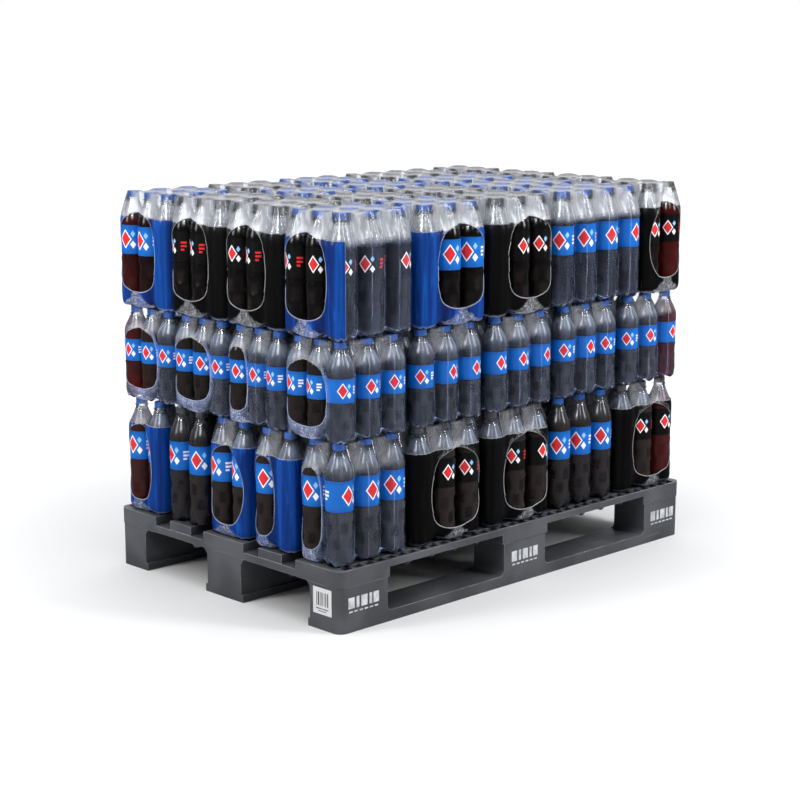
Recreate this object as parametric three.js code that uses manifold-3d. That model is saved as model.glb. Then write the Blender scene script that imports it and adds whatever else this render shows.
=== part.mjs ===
// A pallet of soda bottles: three layers of shrink-wrapped bottle packs on a grey plastic pallet.
// Millimetres, +Z up. The origin is on the floor under the pallet's centre, +X runs along its long
// side and +Y along its short side. The corner that points at the viewer is at -X, -Y.
import * as THREE from 'three';
import { mergeVertices } from 'three/addons/utils/BufferGeometryUtils.js';
import Module from 'manifold-3d';

const wasm = await Module();
wasm.setup();

// Pallet
const PALLET_LENGTH = 1200;
const PALLET_WIDTH = 800;
const PALLET_HEIGHT = 143;
const PALLET_CORNER_RADIUS = 22;
const SEAM_HEIGHT = 104;
const CONTACT_GAP = 0.3;
const CUT_OVERLAP = 1;
const CORNER_SEGMENTS = 5;
const FILLET_SEGMENTS = 4;
const BOARD_THICKNESS = 16;
const WIDE_BOARD = 145;
const NARROW_BOARD = 80;
const NARROW_BOARD_SETBACK = 3;
const CROSS_LIP_DROP = 21;
const CROSS_LIP_THICKNESS = 17;
const BLOCK_LENGTH = 145;
const SKIRT_OVERHANG = 6;
const SKIRT_WIDTH = 143;

// Ribs under the boards
const RIB_PITCH = 74;
const RIB_THICKNESS = 6;
const RIB_DEPTH = 12;
const RIB_INSET = 4;

// Pockets in the top of the boards
const POCKET_PITCH = 33.3;
const POCKET_LENGTH = 25;
const POCKET_WIDTH = 22;
const POCKET_DEPTH = 12;
const POCKET_EDGE = 6;

// Skids
const SKID_INSET = 1.5;
const OUTER_SKID_WIDTH = 98;
const MIDDLE_SKID_WIDTH = 122;
const RUNNER_HEIGHT = 26;
const SKID_FILLET = 14;
const FOOT_HEIGHT = 18;
const FOOT_FLANGE = 7;
const FLARE_HEIGHT = 12;
const FLARE_REACH = 10;

// Paper label on the end of the near skid
const LABEL_SIZE = 60;
const LABEL_THICKNESS = 0.6;
const LABEL_FROM_SIDE = 28;
const LABEL_BASE = 36;

// Bottles. Reach is how far the film stands from the line of bottle centres at each level.
const FILM = 0.4;
const CAP_RADIUS = 14;
const LARGE_BOTTLE = { radius: 33, height: 276 };
const SMALL_BOTTLE = { radius: 32, height: 224 };
const SHOULDER_START = 0.71;
const SHOULDER_END = 0.87;
const SHOULDER_REACH = 0.6;
const ARC_STEPS = 2;
const BODY_DIP = 5;
const SHOULDER_DIP = 6;
const CAP_DIP = 2;

// Layers, from the pallet up. A column is a run of packs along X, a row is a run along Y.
const LAYERS = [
  {
    name: 'lower',
    bottle: LARGE_BOTTLE,
    columns: { counts: [3, 3, 3, 3, 3], pitches: [78, 78, 78, 78, 78], inset: 8 },
    rows: { counts: [2, 2, 2, 2, 2], pitches: [74, 74, 74, 74, 74], inset: 12 },
    hasCore: true,
    films: ['CBBCB', 'K...K', 'K...C', 'C...B', 'KCBCK'],
  },
  {
    name: 'middle',
    bottle: SMALL_BOTTLE,
    columns: { counts: [3, 3, 3, 3, 3], pitches: [76, 76, 76, 76, 76], inset: 8 },
    rows: { counts: [3, 3, 3, 3], pitches: [64, 64, 64, 64], inset: 5 },
    hasCore: true,
    films: ['CCCC', 'C..C', 'C..C', 'C..C', 'CCCC'],
  },
  {
    name: 'upper',
    bottle: LARGE_BOTTLE,
    columns: { counts: [3, 3, 3, 4, 2], pitches: [82, 74, 74, 82, 80], inset: 8 },
    rows: { counts: [3, 3, 3, 3], pitches: [66, 66, 66, 66], inset: 1 },
    hasCore: false,
    films: ['CKKB', 'BKBK', 'KKBB', 'CBBK', 'KKKK'],
  },
];

// Film kinds: colour, roughness
const FILM_LOOKS = {
  C: { color: 0x3a3f52, roughness: 0.25 },
  B: { color: 0x0a41a5, roughness: 0.3 },
  K: { color: 0x1e1e20, roughness: 0.3 },
};
const PALLET_LOOK = { color: 0x525458, roughness: 0.6 };
const LABEL_LOOK = { color: 0xe8e8e6, roughness: 0.7 };
const CORE_LOOK = { color: 0x17120f, roughness: 0.3 };

/** A closed geometry as a solid that can be joined and cut. */
function toSolid(geometry) {
  const bare = geometry.clone();
  bare.deleteAttribute('normal');
  bare.deleteAttribute('uv');
  const merged = mergeVertices(bare);
  return new wasm.Manifold(new wasm.Mesh({
    numProp: 3,
    vertProperties: new Float32Array(merged.attributes.position.array),
    triVerts: new Uint32Array(merged.index.array),
  }));
}

/** A solid back as a geometry with face normals. */
function toGeometry(solid) {
  const mesh = solid.getMesh();
  const geometry = new THREE.BufferGeometry();
  geometry.setAttribute('position', new THREE.BufferAttribute(mesh.vertProperties, mesh.numProp));
  geometry.setIndex(new THREE.BufferAttribute(mesh.triVerts, 1));
  geometry.computeVertexNormals();
  return geometry;
}

/** A box between two corners given as [low, high] pairs. */
function boxSolid([x0, x1], [y0, y1], [z0, z1]) {
  const geometry = new THREE.BoxGeometry(x1 - x0, y1 - y0, z1 - z0);
  geometry.translate((x0 + x1) / 2, (y0 + y1) / 2, (z0 + z1) / 2);
  return toSolid(geometry);
}

/** A flat shape run straight up from its own plane. */
function extrude(shape, depth, curveSegments) {
  return new THREE.ExtrudeGeometry(shape, { depth, bevelEnabled: false, curveSegments });
}

/** An upright prism over a rectangle with round corners, centred on the origin. */
function roundedPrism(length, width, radius, [z0, z1]) {
  const shape = new THREE.Shape();
  const x = length / 2 - radius;
  const y = width / 2 - radius;
  shape.absarc(x, y, radius, 0, Math.PI / 2);
  shape.absarc(-x, y, radius, Math.PI / 2, Math.PI);
  shape.absarc(-x, -y, radius, Math.PI, 1.5 * Math.PI);
  shape.absarc(x, -y, radius, 1.5 * Math.PI, 2 * Math.PI);
  const geometry = extrude(shape, z1 - z0, CORNER_SEGMENTS);
  geometry.translate(0, 0, z0);
  return toSolid(geometry);
}

/** A section drawn in (Y, Z) and run along X. */
function prismAlongX(shape, [x0, x1]) {
  const geometry = extrude(shape, x1 - x0, FILLET_SEGMENTS);
  const basis = new THREE.Matrix4().makeBasis(
    new THREE.Vector3(0, 1, 0),
    new THREE.Vector3(0, 0, 1),
    new THREE.Vector3(1, 0, 0),
  );
  geometry.applyMatrix4(basis);
  geometry.translate(x0, 0, 0);
  return toSolid(geometry);
}

/** A section drawn in (X, Z) and run along Y. */
function prismAlongY(shape, [y0, y1]) {
  const geometry = extrude(shape, y1 - y0, FILLET_SEGMENTS);
  const basis = new THREE.Matrix4().makeBasis(
    new THREE.Vector3(1, 0, 0),
    new THREE.Vector3(0, 0, 1),
    new THREE.Vector3(0, -1, 0),
  );
  geometry.applyMatrix4(basis);
  geometry.translate(0, y1, 0);
  return toSolid(geometry);
}

/** A shape through corner points. */
function polygon(points) {
  return new THREE.Shape(points.map(([u, v]) => new THREE.Vector2(u, v)));
}

function joinAll(solids) {
  return solids.reduce((whole, next) => whole.add(next));
}

// Where the three blocks of a skid stand along X, and the five boards across Y
const blockCentres = [-1, 0, 1].map((side) => (side * (PALLET_LENGTH - BLOCK_LENGTH)) / 2);
const blockSpans = blockCentres.map((x) => [x - BLOCK_LENGTH / 2, x + BLOCK_LENGTH / 2]);
const skirtSpans = blockSpans.map(([x0, x1]) => [
  Math.max(x0 - SKIRT_OVERHANG, -PALLET_LENGTH / 2),
  Math.min(x1 + SKIRT_OVERHANG, PALLET_LENGTH / 2),
]);
const outerBoardCentre = (PALLET_WIDTH - WIDE_BOARD) / 2;
const boards = [
  { y: -outerBoardCentre, width: WIDE_BOARD, setback: 0, pocketRows: 4 },
  { y: -outerBoardCentre / 2, width: NARROW_BOARD, setback: NARROW_BOARD_SETBACK, pocketRows: 2 },
  { y: 0, width: WIDE_BOARD, setback: 0, pocketRows: 4 },
  { y: outerBoardCentre / 2, width: NARROW_BOARD, setback: NARROW_BOARD_SETBACK, pocketRows: 2 },
  { y: outerBoardCentre, width: WIDE_BOARD, setback: 0, pocketRows: 4 },
];

function boardSpan(board) {
  return [board.y - board.width / 2, board.y + board.width / 2];
}

/** The ribs that cross under one board between the blocks, with slanted ends. */
function boardRibs(board) {
  const top = PALLET_HEIGHT - BOARD_THICKNESS + CUT_OVERLAP;
  const [y0, y1] = boardSpan(board);
  const section = polygon([
    [y0 + RIB_INSET, top],
    [y0 + RIB_INSET + RIB_DEPTH, top - RIB_DEPTH],
    [y1 - RIB_INSET - RIB_DEPTH, top - RIB_DEPTH],
    [y1 - RIB_INSET, top],
  ]);
  const ribs = [];
  for (let bay = 0; bay < 2; bay += 1) {
    const start = skirtSpans[bay][1];
    const length = skirtSpans[bay + 1][0] - start;
    const count = Math.round(length / RIB_PITCH) - 1;
    for (let i = 1; i <= count; i += 1) {
      const x = start + (length * i) / (count + 1);
      ribs.push(prismAlongX(section, [x - RIB_THICKNESS / 2, x + RIB_THICKNESS / 2]));
    }
  }
  return ribs;
}

/** The pockets that show: one row along each outer long edge, and one at both ends of each board. */
function boardPockets(board) {
  const columns = Math.floor((PALLET_LENGTH - 2 * POCKET_EDGE) / POCKET_PITCH);
  const firstColumn = (-(columns - 1) * POCKET_PITCH) / 2;
  const rowReach = board.width / 2 - POCKET_EDGE - POCKET_WIDTH / 2;
  const pockets = [];
  for (let row = 0; row < board.pocketRows; row += 1) {
    const y = board.y - rowReach + (2 * rowReach * row) / (board.pocketRows - 1);
    const atEdge = Math.abs(y) > PALLET_WIDTH / 2 - POCKET_EDGE - POCKET_WIDTH;
    for (let column = 0; column < columns; column += 1) {
      const atEnd = column === 0 || column === columns - 1;
      if (atEdge || atEnd) {
        const x = firstColumn + column * POCKET_PITCH;
        pockets.push(boxSolid(
          [x - POCKET_LENGTH / 2, x + POCKET_LENGTH / 2],
          [y - POCKET_WIDTH / 2, y + POCKET_WIDTH / 2],
          [PALLET_HEIGHT - POCKET_DEPTH, PALLET_HEIGHT + CUT_OVERLAP],
        ));
      }
    }
  }
  return pockets;
}

/** The deck: five boards on three cross members, with a skirt over each block. */
function deckSolid() {
  const boardBase = PALLET_HEIGHT - BOARD_THICKNESS;
  const lipTop = PALLET_HEIGHT - CROSS_LIP_DROP;
  const lipBase = lipTop - CROSS_LIP_THICKNESS;
  const halfWidth = PALLET_WIDTH / 2;
  const skirtRows = [
    [-halfWidth, -halfWidth + SKIRT_WIDTH],
    [-SKIRT_WIDTH / 2, SKIRT_WIDTH / 2],
    [halfWidth - SKIRT_WIDTH, halfWidth],
  ];
  const parts = [];
  boards.forEach((board) => {
    const end = PALLET_LENGTH / 2 - board.setback;
    parts.push(boxSolid([-end, end], boardSpan(board), [boardBase, PALLET_HEIGHT]));
    skirtSpans.forEach(([x0, x1]) => {
      parts.push(boxSolid([Math.max(x0, -end), Math.min(x1, end)], boardSpan(board), [lipBase, PALLET_HEIGHT]));
    });
    parts.push(...boardRibs(board));
  });
  skirtSpans.forEach((span) => {
    parts.push(boxSolid(span, [-halfWidth, halfWidth], [lipBase, lipTop]));
    skirtRows.forEach((row) => {
      parts.push(boxSolid(span, row, [SEAM_HEIGHT, PALLET_HEIGHT]));
    });
  });
  const outline = roundedPrism(PALLET_LENGTH, PALLET_WIDTH, PALLET_CORNER_RADIUS, [0, PALLET_HEIGHT]);
  const pockets = boards.flatMap(boardPockets);
  return joinAll(parts).intersect(outline).subtract(joinAll(pockets));
}

/** The side view of a skid: three blocks on a runner, with fillets where they meet. */
function skidProfile(top) {
  const shape = new THREE.Shape();
  const end = PALLET_LENGTH / 2 - SKID_INSET;
  const quarter = Math.PI / 2;
  shape.moveTo(-end, 0);
  shape.lineTo(end, 0);
  shape.lineTo(end, top);
  for (let bay = 1; bay >= 0; bay -= 1) {
    const right = blockSpans[bay + 1][0] - SKID_FILLET;
    const left = blockSpans[bay][1] + SKID_FILLET;
    const centre = RUNNER_HEIGHT + SKID_FILLET;
    shape.lineTo(right + SKID_FILLET, top);
    shape.lineTo(right + SKID_FILLET, centre);
    shape.absarc(right, centre, SKID_FILLET, 0, -quarter, true);
    shape.absarc(left, centre, SKID_FILLET, -quarter, -2 * quarter, true);
    shape.lineTo(left - SKID_FILLET, top);
  }
  shape.lineTo(-end, top);
  return shape;
}

/** One skid. Side is -1, 0 or 1: the near, the middle and the far one. */
function skidSolid(side) {
  const top = SEAM_HEIGHT - CONTACT_GAP;
  const outer = PALLET_WIDTH / 2 - SKID_INSET;
  const half = MIDDLE_SKID_WIDTH / 2;
  const [y0, y1] = side === 0 ? [-half, half] : [outer - OUTER_SKID_WIDTH, outer];
  const flangeStart = y0 - FOOT_FLANGE;
  const flangeEnd = side === 0 ? y1 + FOOT_FLANGE : y1;
  const flareEnd = side === 0 ? y1 + FLARE_REACH : y1;
  const section = polygon([
    [flangeStart, 0],
    [flangeEnd, 0],
    [flangeEnd, FOOT_HEIGHT],
    [y1, FOOT_HEIGHT],
    [y1, top - FLARE_HEIGHT],
    [flareEnd, top],
    [y0 - FLARE_REACH, top],
    [y0, top - FLARE_HEIGHT],
    [y0, FOOT_HEIGHT],
    [flangeStart, FOOT_HEIGHT],
  ]);
  const end = PALLET_LENGTH / 2;
  const body = prismAlongY(skidProfile(top), [y0 - 2 * FLARE_REACH, y1 + 2 * FLARE_REACH]);
  const outline = roundedPrism(
    PALLET_LENGTH - 2 * SKID_INSET,
    PALLET_WIDTH - 2 * SKID_INSET,
    PALLET_CORNER_RADIUS - SKID_INSET,
    [0, top],
  );
  const skid = body.intersect(prismAlongX(section, [-end, end])).intersect(outline);
  return side < 0 ? skid.mirror([0, 1, 0]) : skid;
}

/** The outline of a block of bottles wrapped in film, as points that run anticlockwise. */
function packOutline(pack, reach, dip) {
  const points = [];
  const halfX = ((pack.nx - 1) * pack.pitchX) / 2;
  const halfY = ((pack.ny - 1) * pack.pitchY) / 2;
  const corners = [[halfX, -halfY], [halfX, halfY], [-halfX, halfY], [-halfX, -halfY]];
  corners.forEach(([x, y], k) => {
    const facing = (k - 1) * (Math.PI / 2);
    for (let i = 0; i <= ARC_STEPS; i += 1) {
      const angle = facing + (Math.PI / 2) * (i / ARC_STEPS);
      points.push(new THREE.Vector2(x + reach * Math.cos(angle), y + reach * Math.sin(angle)));
    }
    const [nextX, nextY] = corners[(k + 1) % corners.length];
    const outward = new THREE.Vector2(Math.cos(facing + Math.PI / 2), Math.sin(facing + Math.PI / 2));
    const bottles = k % 2 === 0 ? pack.ny : pack.nx;
    const steps = 2 * (bottles - 1);
    for (let i = 1; i < steps; i += 1) {
      const between = i % 2 === 1;
      const out = reach - (between ? dip : 0);
      points.push(new THREE.Vector2(
        x + ((nextX - x) * i) / steps + outward.x * out,
        y + ((nextY - y) * i) / steps + outward.y * out,
      ));
    }
  });
  return points;
}

/** A wrapped pack as one closed body: straight sides, sloping shoulders and a flat top of caps. */
function packGeometry(pack) {
  const { radius, height } = pack.bottle;
  const reach = radius + FILM;
  const top = height - CONTACT_GAP;
  const levels = [
    { z: 0, outline: packOutline(pack, reach, BODY_DIP) },
    { z: SHOULDER_START * height, outline: packOutline(pack, reach, BODY_DIP) },
    { z: SHOULDER_END * height, outline: packOutline(pack, reach * SHOULDER_REACH, SHOULDER_DIP) },
    { z: top, outline: packOutline(pack, CAP_RADIUS + FILM, CAP_DIP) },
  ];
  const count = levels[0].outline.length;
  const geometry = new THREE.CylinderGeometry(1, 1, 1, count, levels.length - 1);
  geometry.translate(0, 1 / 2, 0);
  const position = geometry.attributes.position;
  for (let i = 0; i < position.count; i += 1) {
    const x = position.getX(i);
    const z = position.getZ(i);
    const level = levels[Math.round(position.getY(i) * (levels.length - 1))];
    const onRim = Math.hypot(x, z) > 1 / 2;
    if (onRim) {
      const turn = Math.round((Math.atan2(x, z) / (2 * Math.PI)) * count);
      const point = level.outline[(turn + count) % count];
      position.setXYZ(i, point.x, point.y, level.z);
    } else {
      position.setXYZ(i, 0, 0, level.z);
    }
  }
  return toGeometry(toSolid(geometry));
}

/** The span of each pack in a run, spread evenly over the pallet with equal gaps. */
function spreadPacks(run, reach, palletSize) {
  const widths = run.counts.map((count, i) => (count - 1) * run.pitches[i] + 2 * reach);
  const free = palletSize - 2 * run.inset - widths.reduce((sum, width) => sum + width, 0);
  const gap = free / (widths.length - 1);
  let start = -palletSize / 2 + run.inset;
  return widths.map((width) => {
    const span = [start, start + width];
    start += width + gap;
    return span;
  });
}

function middle([low, high]) {
  return (low + high) / 2;
}

function makeMesh(name, geometry, look) {
  const material = new THREE.MeshStandardMaterial({ ...look, metalness: 0 });
  const mesh = new THREE.Mesh(geometry, material);
  mesh.name = name;
  return mesh;
}

/** The bottles out of sight in the middle of a layer, as one plain block. */
function coreMesh(layer, columnSpans, rowSpans, inner) {
  const xs = [columnSpans[1][0], columnSpans[columnSpans.length - 2][1]];
  const ys = [rowSpans[1][0], rowSpans[rowSpans.length - 2][1]];
  const height = layer.bottle.height - CONTACT_GAP;
  const geometry = new THREE.BoxGeometry(xs[1] - xs[0] - inner, ys[1] - ys[0] - inner, height);
  geometry.translate(0, 0, height / 2);
  const mesh = makeMesh(`${layer.name}_core`, geometry, CORE_LOOK);
  mesh.position.set(middle(xs), middle(ys), 0);
  return mesh;
}

/** One layer: a group of packs standing at z = 0 of its own. */
function layerGroup(layer) {
  const group = new THREE.Group();
  const reach = layer.bottle.radius + FILM;
  const columnSpans = spreadPacks(layer.columns, reach, PALLET_LENGTH);
  const rowSpans = spreadPacks(layer.rows, reach, PALLET_WIDTH);
  columnSpans.forEach((columnSpan, column) => {
    rowSpans.forEach((rowSpan, row) => {
      const film = layer.films[column][row];
      if (film !== '.') {
        const geometry = packGeometry({
          bottle: layer.bottle,
          nx: layer.columns.counts[column],
          ny: layer.rows.counts[row],
          pitchX: layer.columns.pitches[column],
          pitchY: layer.rows.pitches[row],
        });
        const mesh = makeMesh(`${layer.name}_pack_${column + 1}_${row + 1}`, geometry, FILM_LOOKS[film]);
        mesh.position.set(middle(columnSpan), middle(rowSpan), 0);
        group.add(mesh);
      }
    });
  });
  if (layer.hasCore) {
    group.add(coreMesh(layer, columnSpans, rowSpans, 2 * FILM));
  }
  return group;
}

const pallet = new THREE.Group();
pallet.add(makeMesh('pallet_deck', toGeometry(deckSolid()), PALLET_LOOK));
pallet.add(makeMesh('near_skid', toGeometry(skidSolid(-1)), PALLET_LOOK));
pallet.add(makeMesh('middle_skid', toGeometry(skidSolid(0)), PALLET_LOOK));
pallet.add(makeMesh('far_skid', toGeometry(skidSolid(1)), PALLET_LOOK));

const label = makeMesh(
  'pallet_label',
  new THREE.BoxGeometry(LABEL_THICKNESS, LABEL_SIZE, LABEL_SIZE),
  LABEL_LOOK,
);
label.position.set(
  -PALLET_LENGTH / 2 + SKID_INSET - CONTACT_GAP - LABEL_THICKNESS / 2,
  -PALLET_WIDTH / 2 + LABEL_FROM_SIDE + LABEL_SIZE / 2,
  LABEL_BASE + LABEL_SIZE / 2,
);
pallet.add(label);

const model = new THREE.Group();
model.add(pallet);
let base = PALLET_HEIGHT;
LAYERS.forEach((layer) => {
  const group = layerGroup(layer);
  group.position.z = base + CONTACT_GAP;
  base += layer.bottle.height;
  model.add(group);
});

export default model;
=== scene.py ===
"""A pallet of wrapped soda bottles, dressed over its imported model.

Three layers of bottle packs stand on a grey plastic pallet. The pallet keeps the solids of the
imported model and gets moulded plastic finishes. Each pack solid gives way to a skin of shrink film,
with the bottles, labels and caps that it holds.

Metres throughout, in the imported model's frame: +X along the pallet's long side, +Y along its short
side, +Z up. The corner that points at the viewer is at -X, -Y.
"""

import logging
import math
import random
from dataclasses import dataclass
from enum import Enum
from functools import cached_property
from typing import ClassVar, Iterable, Sequence

import bmesh
import bpy
from mathutils import Matrix, Vector, noise


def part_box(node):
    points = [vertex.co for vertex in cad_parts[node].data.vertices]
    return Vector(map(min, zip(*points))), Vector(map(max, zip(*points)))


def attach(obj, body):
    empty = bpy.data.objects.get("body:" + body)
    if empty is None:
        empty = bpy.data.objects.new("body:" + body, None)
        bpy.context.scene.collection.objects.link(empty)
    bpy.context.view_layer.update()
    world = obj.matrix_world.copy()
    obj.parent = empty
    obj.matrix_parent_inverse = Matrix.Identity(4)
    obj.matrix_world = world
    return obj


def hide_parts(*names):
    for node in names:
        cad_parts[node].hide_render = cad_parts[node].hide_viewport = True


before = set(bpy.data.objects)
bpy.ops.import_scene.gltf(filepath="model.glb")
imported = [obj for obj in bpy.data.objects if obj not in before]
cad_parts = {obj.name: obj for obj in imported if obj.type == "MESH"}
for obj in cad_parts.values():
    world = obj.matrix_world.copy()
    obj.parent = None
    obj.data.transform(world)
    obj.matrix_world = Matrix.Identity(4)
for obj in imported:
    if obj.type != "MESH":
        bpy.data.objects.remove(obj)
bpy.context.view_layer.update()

LOG = logging.getLogger("pallet")
BODY = "root"
SEED = 20
MM = 0.001

Colour = tuple[float, float, float]
Profile = list[tuple[float, float]]
Socket = bpy.types.NodeSocket


class Film(Enum):
    """The kinds of shrink film; tight film is clear film that hardly shows."""

    CLEAR = "C"
    TIGHT = "T"
    BLUE = "B"
    BLACK = "K"

    @property
    def printed(self) -> bool:
        """True where the film is printed all round."""
        return self in (Film.BLUE, Film.BLACK)

    @property
    def mist(self) -> float:
        """How milky the film is, as a share of clear film."""
        return 0.08 if self is Film.TIGHT else 1.0

    @property
    def lobes(self) -> float:
        """How closely the film follows the feet of its bottles."""
        return 0.3 if self.printed else 1.0

    @property
    def slot(self) -> str:
        """The record's material slot that the film takes its finish from."""
        return "clear_film" if self is Film.TIGHT else f"{self.name.lower()}_film"


class Drink(Enum):
    """The kinds of bottle label."""

    BLUE = "b"
    BLACK = "k"


class Cap(Enum):
    """The colours of bottle cap."""

    BLUE = "b"
    GREY = "g"


class Side(Enum):
    """The sides of a pack, as the angle each faces, in degrees from +X."""

    RIGHT = 0
    BACK = 90
    LEFT = 180
    FRONT = 270

    @property
    def angle(self) -> float:
        """The angle the side faces, in radians."""
        return math.radians(self.value)

    @property
    def out(self) -> Vector:
        """The flat direction the side faces."""
        return Vector((math.cos(self.angle), math.sin(self.angle)))

    @property
    def tangent(self) -> Vector:
        """The flat direction along the side, anticlockwise round the pack."""
        return Vector((-math.sin(self.angle), math.cos(self.angle)))

    @property
    def runs_along_x(self) -> bool:
        """True for the two long sides of the load."""
        return self in (Side.FRONT, Side.BACK)


class Opening(Enum):
    """Where a hole starts and ends across its side, as shares of it, counted towards +X or +Y."""

    WIDE = (0.22, 0.975)
    FULL = (0.08, 0.955)
    NARROW = (0.42, 0.975)
    SINGLE = (0.57, 0.975)


SIDE_CODES = {"e": Side.RIGHT, "n": Side.BACK, "w": Side.LEFT, "s": Side.FRONT}
OPENING_CODES = {"": Opening.WIDE, "f": Opening.FULL, "n": Opening.NARROW, "1": Opening.SINGLE}

# For a bottle on each side of the load, in degrees: where its label is turned to, and where the
# painted light off the floor comes from
SIDE_TURNS = {
    Side.FRONT: (-100, -110), Side.LEFT: (-165, -167), Side.RIGHT: (0, 0), Side.BACK: (90, 90),
}


# ---- Node trees ----


class Wiring:
    """Adds nodes to a node tree and joins them."""

    def __init__(self, tree: bpy.types.NodeTree) -> None:
        """Starts with the tree to fill."""
        self.tree = tree

    def feed(self, socket: Socket, value: object) -> None:
        """Links a socket into an input, or sets the input to a plain value.

        Args:
            socket: The input.
            value: What it gets.
        """
        if isinstance(value, bpy.types.NodeSocket):
            self.tree.links.new(value, socket)
        else:
            socket.default_value = value

    def put(self, kind: str, inputs: dict | None = None, **settings: object) -> bpy.types.Node:
        """Adds one node.

        Args:
            kind: The node's type, without the ShaderNode prefix.
            inputs: Values or sockets by input name or number.
            **settings: The node's own properties.

        Returns:
            The new node.
        """
        node = self.tree.nodes.new("ShaderNode" + kind)
        for name, value in settings.items():
            setattr(node, name, value)
        for key, value in (inputs or {}).items():
            self.feed(node.inputs[key], value)
        return node

    def group(self, tree: bpy.types.NodeTree, **inputs: object) -> dict[str, Socket]:
        """Places a node group with its own values.

        Args:
            tree: The group.
            **inputs: Values or sockets by input name, _ for a space.

        Returns:
            The group's outputs by name.
        """
        node = self.put("Group", node_tree=tree)
        for name, value in spaced(inputs).items():
            self.feed(node.inputs[name], value)
        return {socket.name: socket for socket in node.outputs}

    def math(self, operation: str, *values: object, clamp: bool = False) -> Socket:
        """Adds a Math node and returns its result."""
        inputs = dict(enumerate(values))
        return self.put("Math", inputs, operation=operation, use_clamp=clamp).outputs[0]

    def chain(self, operation: str, *values: object) -> Socket:
        """Joins values with one Math operation, from left to right.

        Args:
            operation: The operation.
            *values: Values or sockets.

        Returns:
            The result.
        """
        result = values[0]
        for value in values[1:]:
            result = self.math(operation, result, value)
        return result

    def product(self, *values: object) -> Socket:
        """Multiplies values."""
        return self.chain("MULTIPLY", *values)

    def total(self, *values: object) -> Socket:
        """Adds values up."""
        return self.chain("ADD", *values)

    def ease(self, value: object, low: float, high: float, start: float = 0.0,
             end: float = 1.0) -> Socket:
        """Maps a value smoothly from low..high to start..end.

        Args:
            value: The value to map.
            low: Where the result starts to change.
            high: Where the result stops changing.
            start: The result at low.
            end: The result at high.

        Returns:
            The mapped value.
        """
        inputs = {0: value, 1: low, 2: high, 3: start, 4: end}
        return self.put("MapRange", inputs, interpolation_type="SMOOTHSTEP").outputs[0]

    def vary(self, value: object, start: float, end: float) -> Socket:
        """Maps a value smoothly from 0..1 to start..end."""
        return self.ease(value, 0.0, 1.0, start, end)

    def tint(self, factor: object, low: object, high: object) -> Socket:
        """Mixes two colours and returns the result."""
        inputs = {0: factor, 6: paint(low), 7: paint(high)}
        return self.put("Mix", inputs, data_type="RGBA").outputs[2]

    def noise(self, vector: object, scale: object, detail: float = 2.0,
              distortion: float = 0.0) -> Socket:
        """Adds a Noise Texture and returns its value."""
        inputs = {"Vector": vector, "Scale": scale, "Detail": detail, "Distortion": distortion}
        return self.put("TexNoise", inputs).outputs[0]

    def streaks(self, vector: object, scale: Sequence[float], detail: float = 2.0,
                distortion: float = 0.0) -> Socket:
        """Adds noise with its own scale along each axis and returns its value."""
        stretched = self.put("Mapping", {"Vector": vector, "Scale": scale}).outputs[0]
        return self.noise(stretched, 1.0, detail, distortion)

    def vector_math(self, operation: str, *vectors: object) -> bpy.types.Node:
        """Adds a Vector Math node."""
        return self.put("VectorMath", dict(enumerate(vectors)), operation=operation)

    def place(self) -> Socket:
        """The place on the piece, in the model's frame."""
        return self.put("TexCoord").outputs["Object"]

    def attribute(self, name: str) -> Socket:
        """Reads a number that the mesh carries at its vertices."""
        return self.put("Attribute", attribute_name=name).outputs["Fac"]

    def relief(self, height: Socket, strength: object, depth: float, **inputs: object) -> Socket:
        """Turns a height into a normal, where a height of 1 is the depth in metres."""
        inputs |= {"Strength": strength, "Distance": depth, "Height": height}
        return self.put("Bump", inputs).outputs[0]

    def matt(self, colour: object, roughness: object, **inputs: object) -> Socket:
        """Adds a Principled shader, its further inputs given by name."""
        inputs = {"Base Color": paint(colour), "Roughness": roughness, **spaced(inputs)}
        return self.put("BsdfPrincipled", inputs).outputs[0]

    def blend(self, share: Socket, low: Socket, high: Socket) -> Socket:
        """Mixes two shaders."""
        return self.put("MixShader", {0: share, 1: low, 2: high}).outputs[0]

    def finish(self, shader: Socket, output: str = "OutputMaterial") -> None:
        """Sends a shader to the tree's output."""
        self.put(output, {"Surface": shader})


def spaced(inputs: dict[str, object]) -> dict[str, object]:
    """Turns each _ in the names of inputs into a space."""
    return {name.replace("_", " "): value for name, value in inputs.items()}


def paint(value: object) -> object:
    """Gives a plain colour its alpha, and leaves a socket as it is."""
    return (*value, 1.0) if isinstance(value, tuple) and len(value) == 3 else value


def new_group(name: str, inputs: dict[str, str], outputs: dict[str, str]) -> tuple:
    """Makes an empty shader node group.

    Args:
        name: The group's name.
        inputs: The kind of socket by input name, such as Float or Vector.
        outputs: The kind of socket by output name.

    Returns:
        The tree, its wiring, the input sockets by name and the output node.
    """
    tree = bpy.data.node_groups.new(name, "ShaderNodeTree")
    for direction, sockets in (("INPUT", inputs), ("OUTPUT", outputs)):
        for socket_name, kind in sockets.items():
            tree.interface.new_socket(
                socket_name, in_out=direction, socket_type="NodeSocket" + kind
            )
    entry = tree.nodes.new("NodeGroupInput")
    leave = tree.nodes.new("NodeGroupOutput")
    return tree, Wiring(tree), {s.name: s for s in entry.outputs if s.name}, leave


def grain_group() -> bpy.types.NodeTree:
    """Moulded plastic grain: a slow change of tone and a fine height."""
    tree, wire, given, out = new_group(
        "moulded_grain", {"Vector": "Vector", "Scale": "Float"},
        {"Tone": "Float", "Height": "Float"},
    )
    slow = wire.noise(given["Vector"], given["Scale"], 3.0)
    fine = wire.noise(given["Vector"], wire.product(given["Scale"], 18.0), 3.0)
    wire.feed(out.inputs["Tone"], wire.ease(slow, 0.3, 0.7))
    wire.feed(out.inputs["Height"], fine)
    return tree


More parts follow.
